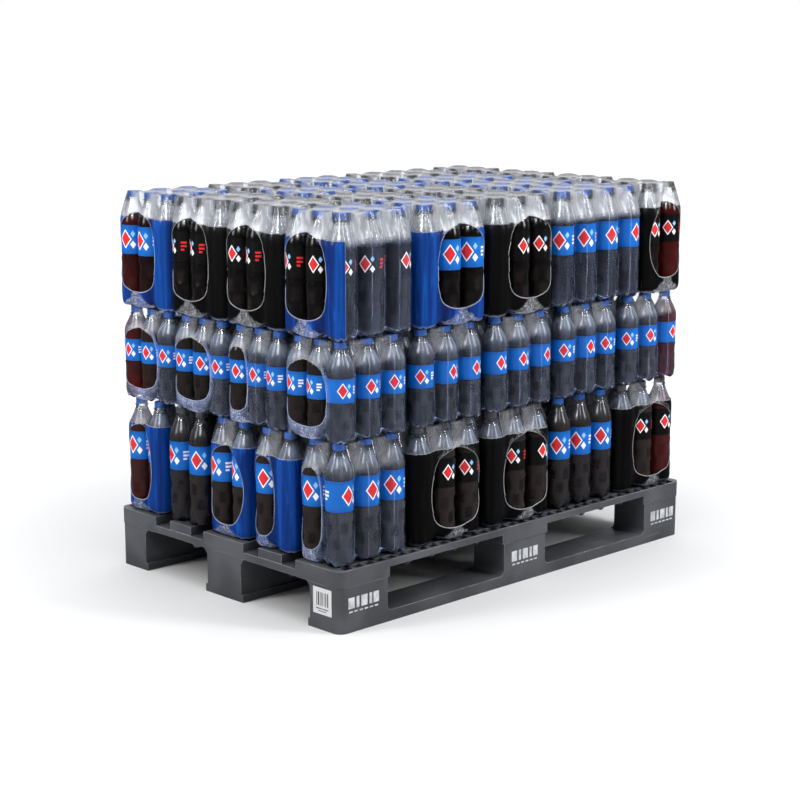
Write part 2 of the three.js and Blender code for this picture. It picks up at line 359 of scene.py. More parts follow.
def crease_group() -> bpy.types.NodeTree:
    """Film creases over a (metres round, metres up) vector: upright streaks and loose crinkle."""
    tree, wire, given, out = new_group(
        "film_creases", {"Vector": "Vector"},
        {"Streak": "Float", "Crinkle": "Float", "Height": "Float"},
    )
    upright = wire.streaks(given["Vector"], (95.0, 9.0, 1.0), 2.0, 0.7)
    loose = wire.streaks(given["Vector"], (55.0, 38.0, 1.0), 2.5, 1.6)
    wire.feed(out.inputs["Streak"], wire.ease(upright, 0.56, 0.72))
    wire.feed(out.inputs["Crinkle"], wire.ease(loose, 0.42, 0.68))
    height = wire.total(wire.product(upright, 0.7), wire.product(loose, 0.5))
    wire.feed(out.inputs["Height"], height)
    return tree


def shape_group() -> bpy.types.NodeTree:
    """An upright bar, or a lozenge where Pointed is 1, on a flat (u, v) vector, as a mask."""
    tree, wire, given, out = new_group(
        "printed_shape",
        {"Vector": "Vector", "U": "Float", "V": "Float", "Half Width": "Float",
         "Half Height": "Float", "Pointed": "Float"},
        {"Mask": "Float"},
    )
    parts = wire.put("SeparateXYZ", {0: given["Vector"]}).outputs
    shares = []
    for part, middle, half in ((parts[0], "U", "Half Width"), (parts[1], "V", "Half Height")):
        off = wire.math("ABSOLUTE", wire.math("SUBTRACT", part, given[middle]))
        shares.append(wire.math("DIVIDE", off, given[half]))
    oblong = wire.math("MAXIMUM", *shares)
    corner = wire.product(wire.math("MINIMUM", *shares), given["Pointed"])
    wire.feed(out.inputs["Mask"], wire.math("LESS_THAN", wire.total(oblong, corner), 1.0))
    return tree


def new_material(name: str) -> tuple[bpy.types.Material, Wiring]:
    """Makes an empty node material.

    Args:
        name: Its name.

    Returns:
        The material and its wiring.
    """
    material = bpy.data.materials.new(name)
    material.use_nodes = True
    material.node_tree.nodes.clear()
    return material, Wiring(material.node_tree)


# ---- Finishes ----


@dataclass(frozen=True)
class Groups:
    """The node groups that several finishes share."""

    grain: bpy.types.NodeTree
    creases: bpy.types.NodeTree
    shape: bpy.types.NodeTree


@dataclass(frozen=True)
class PalletPlastic:
    """Grey moulded plastic with a fine grain, pale scuffs and painted highlights on its edges,
    and painted shade in its nooks.
    """

    colour: Colour = (0.050, 0.053, 0.060)
    light: Colour = (0.078, 0.082, 0.092)
    scuff_and_highlight: Colour = (0.36, 0.37, 0.39)
    painted_nook_shade: Colour = (0.006, 0.0065, 0.008)
    edge: float = 2.2 * MM
    edge_wear_and_highlight: float = 0.85
    scratch_wear: float = 0.20
    shade_reach: float = 0.16
    shade_depth: float = 0.72

    def make(self, groups: Groups) -> bpy.types.Material:
        """Builds the material.

        Args:
            groups: The shared node groups.

        Returns:
            The material.
        """
        material, wire = new_material("pallet_plastic")
        place = wire.place()
        grain = wire.group(groups.grain, Vector=place, Scale=9.0)
        base = wire.tint(grain["Tone"], self.colour, self.light)
        rounded = wire.put("Bevel", {"Radius": self.edge}, samples=6).outputs[0]
        flat = wire.put("NewGeometry").outputs["Normal"]
        turn = wire.vector_math("DOT_PRODUCT", rounded, flat).outputs["Value"]
        # Pale scuffs and painted highlights along the edges, with pale upright scratches
        breakup = wire.ease(wire.noise(place, 26.0, 4.0), 0.36, 0.60, 0.22, 1.0)
        worn = wire.product(wire.ease(turn, 0.99, 0.84), breakup, self.edge_wear_and_highlight)
        scratch = wire.streaks(place, (7.0, 7.0, 160.0), 3.0, 0.4)
        scratch = wire.ease(scratch, 0.66, 0.78, 0.0, self.scratch_wear)
        colour = wire.tint(wire.math("MAXIMUM", worn, scratch), base, self.scuff_and_highlight)
        # Painted shade: nooks and recesses that little of the surroundings reaches are painted near
        # black
        open_sky = wire.put("AmbientOcclusion", {"Distance": self.shade_reach}, samples=6)
        shade = wire.ease(open_sky.outputs["AO"], 0.62, 0.12, 0.0, self.shade_depth)
        colour = wire.tint(shade, colour, self.painted_nook_shade)
        normal = wire.relief(grain["Height"], 0.16, 0.4 * MM, Normal=rounded)
        wire.finish(wire.matt(colour, wire.vary(grain["Tone"], 0.42, 0.56), Normal=normal))
        return material


@dataclass(frozen=True)
class GrainedFinish:
    """A smooth material of two near tones with a fine grain, such as a cap or worn paint."""

    name: str
    colour: Colour
    light: Colour
    roughness: float
    grain_scale: float
    relief: float

    def make(self, groups: Groups) -> bpy.types.Material:
        """Builds the material.

        Args:
            groups: The shared node groups.

        Returns:
            The material.
        """
        material, wire = new_material(self.name)
        grain = wire.group(groups.grain, Vector=wire.place(), Scale=self.grain_scale)
        colour = wire.tint(grain["Tone"], self.colour, self.light)
        normal = wire.relief(grain["Height"], self.relief, 0.2 * MM)
        wire.finish(wire.matt(colour, self.roughness, Normal=normal))
        return material


@dataclass(frozen=True)
class PalletLabelPaper:
    """White paper with a plain design of bars, for the label on the pallet's end."""

    paper: Colour = (0.60, 0.60, 0.60)
    worn: Colour = (0.492, 0.492, 0.492)
    ink: Colour = (0.03, 0.03, 0.035)

    # Middle, half width and half height of each bar, as shares of the label's size
    BARS: ClassVar[tuple[tuple[float, float, float, float], ...]] = (
        (-0.30, 0.08, 0.020, 0.26), (-0.20, 0.08, 0.040, 0.26), (-0.09, 0.08, 0.016, 0.26),
        (-0.01, 0.08, 0.030, 0.26), (0.10, 0.08, 0.016, 0.26), (0.18, 0.08, 0.024, 0.26),
        (0.29, 0.08, 0.040, 0.26), (0.0, -0.29, 0.34, 0.022), (0.0, -0.38, 0.22, 0.018),
    )

    def make(self, groups: Groups, centre: Vector, size: float) -> bpy.types.Material:
        """Builds the material.

        Args:
            groups: The shared node groups.
            centre: The middle of the label.
            size: The label's width and height.

        Returns:
            The material.
        """
        material, wire = new_material("pallet_label_paper")
        place = wire.place()
        centred = wire.vector_math("SUBTRACT", place, tuple(centre)).outputs[0]
        parts = wire.put("SeparateXYZ", {0: centred}).outputs
        flat = wire.put("CombineXYZ", {0: parts[1], 1: parts[2]}).outputs[0]
        scale = (-1 / size, 1 / size, 1.0)
        unit = wire.put("Mapping", {"Vector": flat, "Scale": scale}).outputs[0]
        masks = [
            wire.group(groups.shape, Vector=unit, U=u, V=v, Half_Width=half_width,
                       Half_Height=half_height)["Mask"]
            for u, v, half_width, half_height in self.BARS
        ]
        grain = wire.group(groups.grain, Vector=place, Scale=45.0)
        faded = wire.product(wire.chain("MAXIMUM", *masks), wire.vary(grain["Tone"], 0.8, 1.0))
        paper = wire.tint(wire.product(grain["Tone"], 0.25), self.paper, self.worn)
        colour = wire.tint(faded, paper, self.ink)
        normal = wire.relief(grain["Height"], 0.08, 0.2 * MM)
        wire.finish(wire.matt(colour, 0.45, Normal=normal))
        return material


@dataclass(frozen=True)
class Cola:
    """Near-black cola behind clear plastic, painted red-brown where light comes through the pack.

    The numbers at its vertices say how much painted light a bottle lets through, how much painted
    light off the floor it gets, which way that light comes from, where its plastic has dimples and
    how milky the film before it is.
    """

    dark: Colour = (0.0008, 0.0007, 0.0007)
    deep: Colour = (0.0020, 0.0015, 0.0014)
    floor_bounce_light: Colour = (0.0185, 0.0142, 0.0125)
    pressed_and_sheen: Colour = (0.013, 0.0095, 0.0085)
    pressed_shade: Colour = (0.0045, 0.0030, 0.0028)
    lit: Colour = (0.060, 0.0030, 0.0025)
    milky: Colour = (0.130, 0.160, 0.222)
    roughness: float = 0.19
    index: float = 1.46
    gloss: float = 0.36

    def make(self, groups: Groups) -> bpy.types.Material:
        """Builds the material.

        Args:
            groups: The shared node groups.

        Returns:
            The material.
        """
        material, wire = new_material("cola")
        place = wire.place()
        tone = wire.group(groups.grain, Vector=place, Scale=14.0)["Tone"]
        glow, bounce, outward, pressed_and_sheen, veiled = (
            wire.attribute(name) for name in ("glow", "bounce", "outward", "pressed_and_sheen", "veiled")
        )
        base = wire.tint(tone, self.dark, self.deep)
        # Painted light off the floor on the lower bottles, fading to painted shade on the flanks
        # that face away
        base = wire.tint(wire.product(bounce, outward), base, self.floor_bounce_light)
        # Dimples: a painted sheen on the dark drink, and painted shade within the painted floor
        # light
        patch = wire.product(pressed_and_sheen, outward, wire.vary(tone, 0.35, 1.0))
        base = wire.tint(patch, base, wire.tint(bounce, self.pressed_and_sheen, self.pressed_shade))
        # The film's milky haze, painted onto the drink in upright streaks that stand for highlights
        streaks = wire.streaks(place, (62.0, 62.0, 7.0), 3.0, 0.5)
        streaks = wire.ease(streaks, 0.34, 0.66, 0.50, 1.30)
        milk = wire.product(streaks, wire.vary(pressed_and_sheen, 1.0, 0.62), veiled)
        base = wire.tint(milk, base, self.milky)
        # Painted red-brown light where light comes through the pack
        colour = wire.tint(wire.product(glow, wire.vary(tone, 0.55, 1.0)), base, self.lit)
        shader = wire.matt(colour, self.roughness, IOR=self.index, Specular_IOR_Level=self.gloss)
        wire.finish(shader)
        return material


@dataclass(frozen=True)
class ClearPlastic:
    """The bottle's clear shoulder and neck above the drink."""

    clear: Colour = (0.93, 0.95, 0.97)
    haze: Colour = (0.80, 0.86, 0.95)
    haze_low: float = 0.018
    haze_high: float = 0.045
    index: float = 1.52

    def make(self, groups: Groups) -> bpy.types.Material:
        """Builds the material.

        Args:
            groups: The shared node groups.

        Returns:
            The material.
        """
        material, wire = new_material("bottle_plastic")
        tone = wire.group(groups.grain, Vector=wire.place(), Scale=70.0)["Tone"]
        cover = wire.vary(tone, self.haze_low, self.haze_high)
        clear = wire.put("BsdfTransparent", {"Color": paint(self.clear)}).outputs[0]
        hazy = wire.blend(cover, clear, wire.matt(self.haze, 0.25))
        gloss = wire.put("BsdfGlossy", {"Roughness": 0.06}).outputs[0]
        fresnel = wire.put("Fresnel", {"IOR": self.index}).outputs[0]
        wire.finish(wire.blend(fresnel, hazy, gloss))
        return material


@dataclass(frozen=True)
class Mark:
    """One bar or lozenge of a label's design, in units of the label's height."""

    u: float
    v: float
    half_width: float
    half_height: float
    colour: Colour
    pointed: float = 0.0


@dataclass(frozen=True)
class PrintedLabel:
    """A bottle sleeve: a field of colour with a plain design of lozenges on two sides."""

    name: str
    ground: Colour
    shade: Colour
    marks: tuple[Mark, ...]
    veil: float = 0.0
    milk: Colour = (0.62, 0.72, 0.98)
    fronts: int = 2

    def make(self, groups: Groups) -> bpy.types.Material:
        """Builds the material. It reads the sleeve's own map: u in turns, v in heights.

        Args:
            groups: The shared node groups.

        Returns:
            The material.
        """
        material, wire = new_material(self.name)
        parts = wire.put("SeparateXYZ", {0: wire.put("UVMap", uv_map="Sleeve").outputs[0]}).outputs
        turn = wire.product(parts[0], float(self.fronts))
        folded = wire.math("SUBTRACT", wire.math("FRACT", wire.total(turn, 0.5)), 0.5)
        front_width = wire.math("DIVIDE", wire.attribute("aspect"), float(self.fronts))
        across = wire.product(folded, front_width)
        flat = wire.put("CombineXYZ", {0: across, 1: parts[1]}).outputs[0]
        grain = wire.group(groups.grain, Vector=wire.place(), Scale=30.0)
        edge = wire.ease(wire.math("ABSOLUTE", parts[1]), 0.30, 0.50)
        field_mix = wire.total(wire.product(edge, 0.7), wire.product(grain["Tone"], 0.3))
        colour = wire.tint(field_mix, self.ground, self.shade)
        for mark in self.marks:
            mask = wire.group(
                groups.shape, Vector=flat, U=mark.u, V=mark.v, Half_Width=mark.half_width,
                Half_Height=mark.half_height, Pointed=mark.pointed,
            )["Mask"]
            colour = wire.tint(mask, colour, mark.colour)
        colour = wire.tint(wire.product(wire.attribute("veiled"), self.veil), colour, self.milk)
        normal = wire.relief(grain["Height"], 0.08, 0.3 * MM)
        wire.finish(wire.matt(colour, 0.30, Specular_IOR_Level=0.3, Normal=normal))
        return material


@dataclass(frozen=True)
class ShrinkFilm:
    """Shrink film: clear and milky above, printed below the shoulder where the pack is printed.

    It reads the wrap's own map, in metres round and up, and the numbers at its vertices.
    """

    name: str
    ink: Colour
    ink_tone_and_highlight: Colour
    ink_valley_shade: Colour
    clear: Colour = (0.97, 0.98, 1.0)
    milk: Colour = (0.80, 0.82, 0.88)
    slate: Colour = (0.50, 0.61, 1.0)
    crumple: Colour = (0.46, 0.47, 0.50)
    torn: Colour = (0.66, 0.67, 0.70)
    print_top: float = 0.79
    print_edge: float = 0.008
    print_cover: float = 0.985
    index: float = 1.42

    NUMBERS: ClassVar[tuple[str, ...]] = (
        "level", "rim", "ring", "drop", "across", "print", "cap", "between", "snug", "veil", "mist",
    )

    def body_haze(self, wire: Wiring, read: dict[str, Socket], blotch: Socket) -> Socket:
        """Haze where the film lies on the bottles' sides.

        Args:
            wire: The material's wiring.
            read: The numbers at the vertices, by name.
            blotch: Slow patches, as a mask.

        Returns:
            The haze.
        """
        haze = wire.total(0.007, wire.product(blotch, 0.016))
        haze = wire.product(haze, wire.ease(read["between"], 0.45, 0.8, 1.0, 0.25))
        return wire.product(haze, wire.vary(read["snug"], 1.0, 0.25))

    def fold_haze_and_highlight(self, wire: Wiring, read: dict[str, Socket], upright: Socket) -> Socket:
        """Haze and a painted highlight in the upright line where the film leaves a bottle to span a
        gap.

        Args:
            wire: The material's wiring.
            read: The numbers at the vertices, by name.
            upright: Upright noise.

        Returns:
            The haze.
        """
        drift = wire.total(read["between"], wire.product(upright, 0.24))
        line = wire.product(wire.ease(drift, 0.50, 0.55), wire.ease(drift, 0.61, 0.56))
        return wire.product(line, wire.ease(upright, 0.38, 0.62, 0.06, 0.26))

    def tent_haze(self, wire: Wiring, read: dict[str, Socket], streak: Socket) -> Socket:
        """Haze over the bottles' shoulders, thinner over their caps. It has upright streaks of
        painted highlight, and is painted milkier where the veil stands for light from above.

        Args:
            wire: The material's wiring.
            read: The numbers at the vertices, by name.
            streak: Upright streaks, as a mask.

        Returns:
            The haze.
        """
        tent = wire.ease(read["level"], 0.72, 0.80)
        # A veil of 1 paints the top layer's film milkier, as painted light from above
        haze = wire.total(0.018, wire.product(read["veil"], 0.204))
        haze = wire.total(haze, wire.product(read["between"], wire.vary(read["veil"], 0.12, 0.10)))
        haze = wire.product(haze, tent)
        # Upright streaks of painted highlight
        loose = wire.total(wire.product(tent, wire.vary(read["veil"], 0.015, 0.12)), 0.008)
        haze = wire.total(haze, wire.product(streak, loose))
        return wire.product(haze, wire.ease(read["cap"], 0.0, 0.8, 1.0, 0.06))

    def hole_haze(self, wire: Wiring, read: dict[str, Socket], blotch: Socket) -> Socket:
        """Haze of the stretched film round the hole and below it.

        Args:
            wire: The material's wiring.
            read: The numbers at the vertices, by name.
            blotch: Slow patches, as a mask.

        Returns:
            The haze.
        """
        near = wire.ease(wire.math("ABSOLUTE", read["across"]), 0.075, 0.020)
        below = wire.product(near, wire.ease(read["drop"], -0.04, 0.10, 0.0, 0.14))
        haze = wire.total(wire.ease(read["ring"], 1.22, 1.0, 0.0, 0.20), below)
        return wire.product(haze, wire.vary(blotch, 0.6, 1.2))

    def foot_haze(self, wire: Wiring, read: dict[str, Socket], upright: Socket) -> Socket:
        """Haze of the film's gathered lower edge.

        Args:
            wire: The material's wiring.
            read: The numbers at the vertices, by name.
            upright: Upright noise.

        Returns:
            The haze.
        """
        edge = wire.product(wire.ease(read["level"], 0.036, 0.024),
                            wire.ease(read["level"], 0.004, 0.014),
                            wire.ease(upright, 0.36, 0.62, 0.12, 0.34))
        return wire.total(wire.ease(read["level"], 0.10, 0.02, 0.0, 0.05), edge)

    def haze(self, wire: Wiring, wrap: Socket, read: dict[str, Socket], streak: Socket) -> Socket:
        """How milky the clear film is, painted highlights and painted light from above included.

        Args:
            wire: The material's wiring.
            wrap: The wrap's map.
            read: The numbers at the vertices, by name.
            streak: Upright streaks, as a mask.

        Returns:
            The film's cover, from 0 to 1.
        """
        blotch = wire.ease(wire.streaks(wrap, (24.0, 9.0, 1.0), 2.0, 0.8), 0.32, 0.70)
        upright = wire.streaks(wrap, (30.0, 16.0, 1.0))
        total = wire.total(
            self.body_haze(wire, read, blotch), self.fold_haze_and_highlight(wire, read, upright),
            self.tent_haze(wire, read, streak), self.hole_haze(wire, read, blotch),
            self.foot_haze(wire, read, upright),
        )
        return wire.math("MULTIPLY", total, read["mist"], clamp=True)

    def folds(self, wire: Wiring, wrap: Socket, read: dict[str, Socket], crinkle: Socket) -> Socket:
        """Crumpled film: a fan below the hole, a torn edge above it and a line along the base.

        Args:
            wire: The material's wiring.
            wrap: The wrap's map.
            read: The numbers at the vertices, by name.
            crinkle: Loose crinkle, as a mask.

        Returns:
            The folds' cover, from 0 to 1.
        """
        ragged = wire.streaks(wrap, (70.0, 30.0, 1.0), 3.0)
        ragged = wire.product(wire.math("SUBTRACT", ragged, 0.5), 0.030)
        near = wire.math("ABSOLUTE", read["across"])
        off = wire.math("SUBTRACT", near, wire.vary(read["drop"], 0.015, 0.056))
        speckle = wire.ease(wire.noise(wrap, 240.0, 2.0, 0.6), 0.36, 0.66, 0.12, 0.62)
        speckle = wire.product(speckle, wire.vary(crinkle, 0.55, 1.25))
        fan = wire.product(wire.ease(wire.total(off, ragged), 0.004, -0.009),
                           wire.ease(read["drop"], -0.06, 0.02), speckle)
        torn = wire.product(wire.ease(read["ring"], 1.10, 1.0),
                            wire.ease(read["drop"], -0.86, -0.97), wire.product(crinkle, 0.55))
        hem = wire.product(wire.ease(read["level"], 0.040, 0.006),
                           wire.ease(near, 0.16, 0.03, 0.10, 0.75), speckle)
        folded = wire.chain("MAXIMUM", fan, torn, hem)
        return wire.math("MAXIMUM", folded, wire.product(read["rim"], 0.8), clamp=True)

    def printed(self, wire: Wiring, wrap: Socket, read: dict[str, Socket]) -> Socket:
        """Where the print lies.

        Args:
            wire: The material's wiring.
            wrap: The wrap's map.
            read: The numbers at the vertices, by name.

        Returns:
            The print's cover, from 0 to 1.
        """
        wobble = wire.math("SUBTRACT", wire.streaks(wrap, (140.0, 22.0, 1.0)), 0.5)
        edge = wire.total(read["level"], wire.product(wobble, 0.024))
        below = wire.ease(edge, self.print_top + self.print_edge, self.print_top - self.print_edge)
        inside = wire.product(below, wire.ease(read["print"], 0.47, 0.53))
        return wire.product(inside, wire.ease(read["level"], 0.0, 0.035, 0.55, 1.0))

    def inked(self, wire: Wiring, wrap: Socket, read: dict[str, Socket], streak: Socket) -> Socket:
        """The colour of the print, lighter in random bands and along the creases, with painted
        highlights below its top edge and painted shade in the valleys between the bottles.

        Args:
            wire: The material's wiring.
            wrap: The wrap's map.
            read: The numbers at the vertices, by name.
            streak: Upright streaks, as a mask.

        Returns:
            The colour.
        """
        bands = wire.ease(wire.streaks(wrap, (46.0, 1.6, 1.0), 2.0, 0.4), 0.38, 0.66)
        tone_and_highlight = wire.total(wire.product(bands, 0.55), wire.product(streak, 0.4))
        # Painted highlights on the creases just below the print's top edge
        crest = wire.ease(read["level"], self.print_top - 0.10, self.print_top, 0.0, 0.5)
        tone_and_highlight = wire.math("ADD", tone_and_highlight, wire.product(crest, streak), clamp=True)
        ink = wire.tint(tone_and_highlight, self.ink, self.ink_tone_and_highlight)
        # Painted shade in the valleys between the bottles
        return wire.tint(wire.ease(read["between"], 0.3, 1.0, 0.0, 0.8), ink, self.ink_valley_shade)

    def make(self, groups: Groups) -> bpy.types.Material:
        """Builds the material.

        Args:
            groups: The shared node groups.

        Returns:
            The material.
        """
        material, wire = new_material(self.name)
        wrap = wire.put("UVMap", uv_map="Wrap").outputs[0]
        creases = wire.group(groups.creases, Vector=wrap)
        streak = creases["Streak"]
        read = {name: wire.attribute(name) for name in self.NUMBERS}
        haze = self.haze(wire, wrap, read, streak)
        folds = self.folds(wire, wrap, read, creases["Crinkle"])
        cover = self.printed(wire, wrap, read)

        milk = wire.tint(wire.ease(read["level"], 0.70, 0.80), self.slate, self.milk)
        colour = wire.tint(cover, milk, self.inked(wire, wrap, read, streak))
        colour = wire.tint(folds, colour, wire.tint(read["rim"], self.crumple, self.torn))
        alpha = wire.math("MAXIMUM", haze, wire.product(cover, self.print_cover))
        alpha = wire.math("MAXIMUM", alpha, folds, clamp=True)

        depth = wire.ease(read["level"], 0.68, 0.80, 0.12, 0.36)
        bump = wire.relief(creases["Height"], depth, 1.6 * MM)
        clear = wire.put("BsdfTransparent", {"Color": paint(self.clear)}).outputs[0]
        body = wire.matt(colour, 0.4, Specular_IOR_Level=0.1, Normal=bump)
        gloss = wire.put("BsdfGlossy", {"Roughness": 0.17, "Normal": bump}).outputs[0]
        fresnel = wire.put("Fresnel", {"IOR": self.index, "Normal": bump}).outputs[0]
        lit_through = wire.math("SUBTRACT", 1.0, wire.put("LightPath").outputs["Is Shadow Ray"])
        amount = wire.ease(wire.product(read["veil"], read["level"]), 0.70, 0.80, 0.10, 0.9)
        shine = wire.product(fresnel, lit_through, amount)
        wire.finish(wire.blend(shine, wire.blend(alpha, clear, body), gloss))
        return material


WHITE = (0.86, 0.86, 0.87)
RED = (0.62, 0.018, 0.022)
PALE_BLUE = (0.22, 0.50, 0.85)
BLUE_DESIGN = (
    Mark(-0.14, 0.02, 0.245, 0.335, WHITE, 1.0),
    Mark(-0.14, 0.02, 0.200, 0.275, RED, 1.0),
    Mark(0.15, 0.20, 0.085, 0.115, PALE_BLUE, 1.0),
    Mark(0.15, -0.17, 0.105, 0.140, WHITE, 1.0),
    Mark(0.50, 0.14, 0.11, 0.035, WHITE),
    Mark(0.50, 0.02, 0.11, 0.035, WHITE),
    Mark(0.46, -0.10, 0.07, 0.035, WHITE),
)
BLACK_DESIGN = (
    Mark(-0.16, 0.02, 0.205, 0.280, WHITE, 1.0),
    Mark(-0.16, 0.02, 0.165, 0.225, RED, 1.0),
    Mark(0.08, 0.17, 0.070, 0.095, PALE_BLUE, 1.0),
    Mark(0.08, -0.14, 0.085, 0.115, WHITE, 1.0),
    Mark(0.46, 0.14, 0.10, 0.035, RED),
    Mark(0.46, 0.02, 0.10, 0.035, RED),
    Mark(0.42, -0.10, 0.06, 0.035, RED),
)

COLA = Cola()
BOTTLE_PLASTIC = ClearPlastic()
LABELS = {
    Drink.BLUE: PrintedLabel(
        "blue_label", ground=(0.0003, 0.128, 0.49), shade=(0.0004, 0.090, 0.38), marks=BLUE_DESIGN
    ),
    Drink.BLACK: PrintedLabel(
        "black_label", ground=(0.0018, 0.0018, 0.0021), shade=(0.0010, 0.0010, 0.0013),
        marks=BLACK_DESIGN, veil=0.15,
    ),
}
CAPS = {
    Cap.BLUE: GrainedFinish(
        "blue_cap", (0.0015, 0.064, 0.30), (0.003, 0.096, 0.40),
        roughness=0.34, grain_scale=40.0, relief=0.12,
    ),
    Cap.GREY: GrainedFinish(
        "grey_cap", (0.045, 0.045, 0.050), (0.070, 0.070, 0.075),
        roughness=0.34, grain_scale=40.0, relief=0.12,
    ),
}
# Each ink: its colour, its lighter tone and painted highlight, and its painted valley shade
BLUE_INK = (0.0002, 0.018, 0.135), (0.0007, 0.086, 0.42), (0.0002, 0.006, 0.055)
BLACK_INK = (0.0006, 0.0007, 0.0010), (0.0040, 0.0040, 0.0050), (0.0004, 0.0004, 0.0006)
FILMS = {
    "clear_film": ShrinkFilm("clear_film", *BLUE_INK),
    "blue_film": ShrinkFilm("blue_film", *BLUE_INK),
    "black_film": ShrinkFilm("black_film", *BLACK_INK),
}
MARK_PAINT = GrainedFinish(
    "mark_paint", (0.34, 0.35, 0.37), (0.60, 0.61, 0.63), roughness=0.5, grain_scale=60.0,
    relief=0.1,
)


@dataclass(frozen=True)
class Finishes:
    """Every material of the wrapped bottles."""

    cola: bpy.types.Material
    plastic: bpy.types.Material
    labels: dict[Drink, bpy.types.Material]
    caps: dict[Cap, bpy.types.Material]
    films: dict[str, bpy.types.Material]

    @classmethod
    def make(cls, groups: Groups) -> "Finishes":
        """Builds the materials.

        Args:
            groups: The shared node groups.

        Returns:
            The materials.
        """
        return cls(
            cola=COLA.make(groups),
            plastic=BOTTLE_PLASTIC.make(groups),
            labels={drink: label.make(groups) for drink, label in LABELS.items()},
            caps={cap: plastic.make(groups) for cap, plastic in CAPS.items()},
            films={slot: film.make(groups) for slot, film in FILMS.items()},
        )


# ---- Mesh work ----


def spin_profile(profile: Profile, steps: int, closed: bool = False) -> bmesh.types.BMesh:
    """Turns a (radius, height) profile about the upright axis.

    Args:
        profile: Points of the profile, from one end to the other.
        steps: How many steps the turn takes.
        closed: True joins the last point to the first, for a ring.

    Returns:
        The turned mesh, with its poles merged and its faces pointing out.
    """
    bm = bmesh.new()
    verts = [bm.verts.new((radius, 0.0, height)) for radius, height in profile]
    pairs = list(zip(verts, verts[1:] + verts[:1])) if closed else list(zip(verts, verts[1:]))
    edges = [bm.edges.new(pair) for pair in pairs]
    bmesh.ops.spin(
        bm, geom=verts + edges, cent=(0, 0, 0), axis=(0, 0, 1), angle=2 * math.pi, steps=steps,
        use_merge=True, use_duplicate=False,
    )
    bmesh.ops.remove_doubles(bm, verts=bm.verts, dist=0.01 * MM)
    bmesh.ops.recalc_face_normals(bm, faces=bm.faces)
    return bm


def to_mesh(bm: bmesh.types.BMesh, name: str, sharp: float | None = None,
            smooth: bool = True) -> bpy.types.Mesh:
    """Writes a bmesh to a new mesh and frees it.

    Args:
        bm: The bmesh.
        name: The mesh's name.
        sharp: Edges that turn more than this, in radians, stay sharp.
        smooth: True shades its faces smooth.

    Returns:
        The mesh.
    """
    for face in bm.faces:
        face.smooth = smooth
    if sharp is not None:
        for edge in bm.edges:
            edge.smooth = edge.calc_face_angle(0.0) < sharp
    mesh = bpy.data.meshes.new(name)
    bm.to_mesh(mesh)
    bm.free()
    return mesh


def extrude_rim(
    bm: bmesh.types.BMesh, edges: list[bmesh.types.BMEdge]
) -> tuple[list[bmesh.types.BMEdge], list[bmesh.types.BMVert]]:
    """Extrudes an open edge once.

    Args:
        bm: The mesh.
        edges: The open edge.

    Returns:
        The new open edge and its vertices.
    """
    made = bmesh.ops.extrude_edge_only(bm, edges=edges)["geom"]
    rim = [part for part in made if isinstance(part, bmesh.types.BMEdge) and part.is_boundary]
    return rim, [part for part in made if isinstance(part, bmesh.types.BMVert)]


def add_object(name: str, data: bpy.types.ID) -> bpy.types.Object:
    """Puts a mesh, light or camera in the scene.

    Args:
        name: The object's name.
        data: The mesh, light or camera.

    Returns:
        The object.
    """
    made = bpy.data.objects.new(name, data)
    bpy.context.scene.collection.objects.link(made)
    return made


def add_piece(mesh: bpy.types.Mesh, material: bpy.types.Material,
              replaced: Iterable[str] = ()) -> None:
    """Puts a finished mesh in the scene as a piece of the object, under the mesh's name.

    Args:
        mesh: The mesh, in place.
        material: Its finish.
        replaced: The CAD nodes that it stands for.
    """
    mesh.materials.append(material)
    piece = add_object(mesh.name, mesh)
    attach(piece, BODY)
    nodes = list(replaced)
    if nodes:
        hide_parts(*nodes)
    LOG.info("%s: %d faces, replaces %d nodes", piece.name, len(mesh.polygons), len(nodes))


def smooth_step(value: float, low: float, high: float) -> float:
    """Eases from 0 at low to 1 at high."""
    t = min(max((value - low) / (high - low), 0.0), 1.0)
    return t * t * (3 - 2 * t)


def band(value: float, rise: tuple[float, float], fall: tuple[float, float]) -> float:
    """Eases from 0 to 1 over the rise and back to 0 over the fall."""
    return smooth_step(value, *rise) * (1 - smooth_step(value, *fall))


def limited(value: float, reach: float) -> float:
    """Keeps a value within a reach either side of 0."""
    return min(max(value, -reach), reach)


def oval_size(across: float, up: float, power: float) -> float:
    """1 on the edge of an oval of half size 1, and less inside it; 2 is a circle."""
    return (abs(across) ** power + abs(up) ** power) ** (1 / power)


def along_table(table: Sequence[tuple[float, float]], at: float) -> float:
    """Reads a value from a table of (place, value) rows by straight lines.

    Args:
        table: The rows, in order.
        at: The place.

    Returns:
        The value.
    """
    for (place_a, value_a), (place_b, value_b) in zip(table, table[1:]):
        if at <= place_b:
            share = (at - place_a) / (place_b - place_a)
            return value_a + (value_b - value_a) * min(max(share, 0.0), 1.0)
    return table[-1][1]


# ---- Bottles ----


class Detail(Enum):
    """How finely bottles are made: the steps round their body, their shoulder and their cap."""

    FINE = (30, 24, 36)
    INNER = (12, 12, 18)
    BURIED = (12, 12, 10)

    def __init__(self, body: int, shell: int, cap: int) -> None:
        """Names the steps."""
        self.body, self.shell, self.cap = body, shell, cap


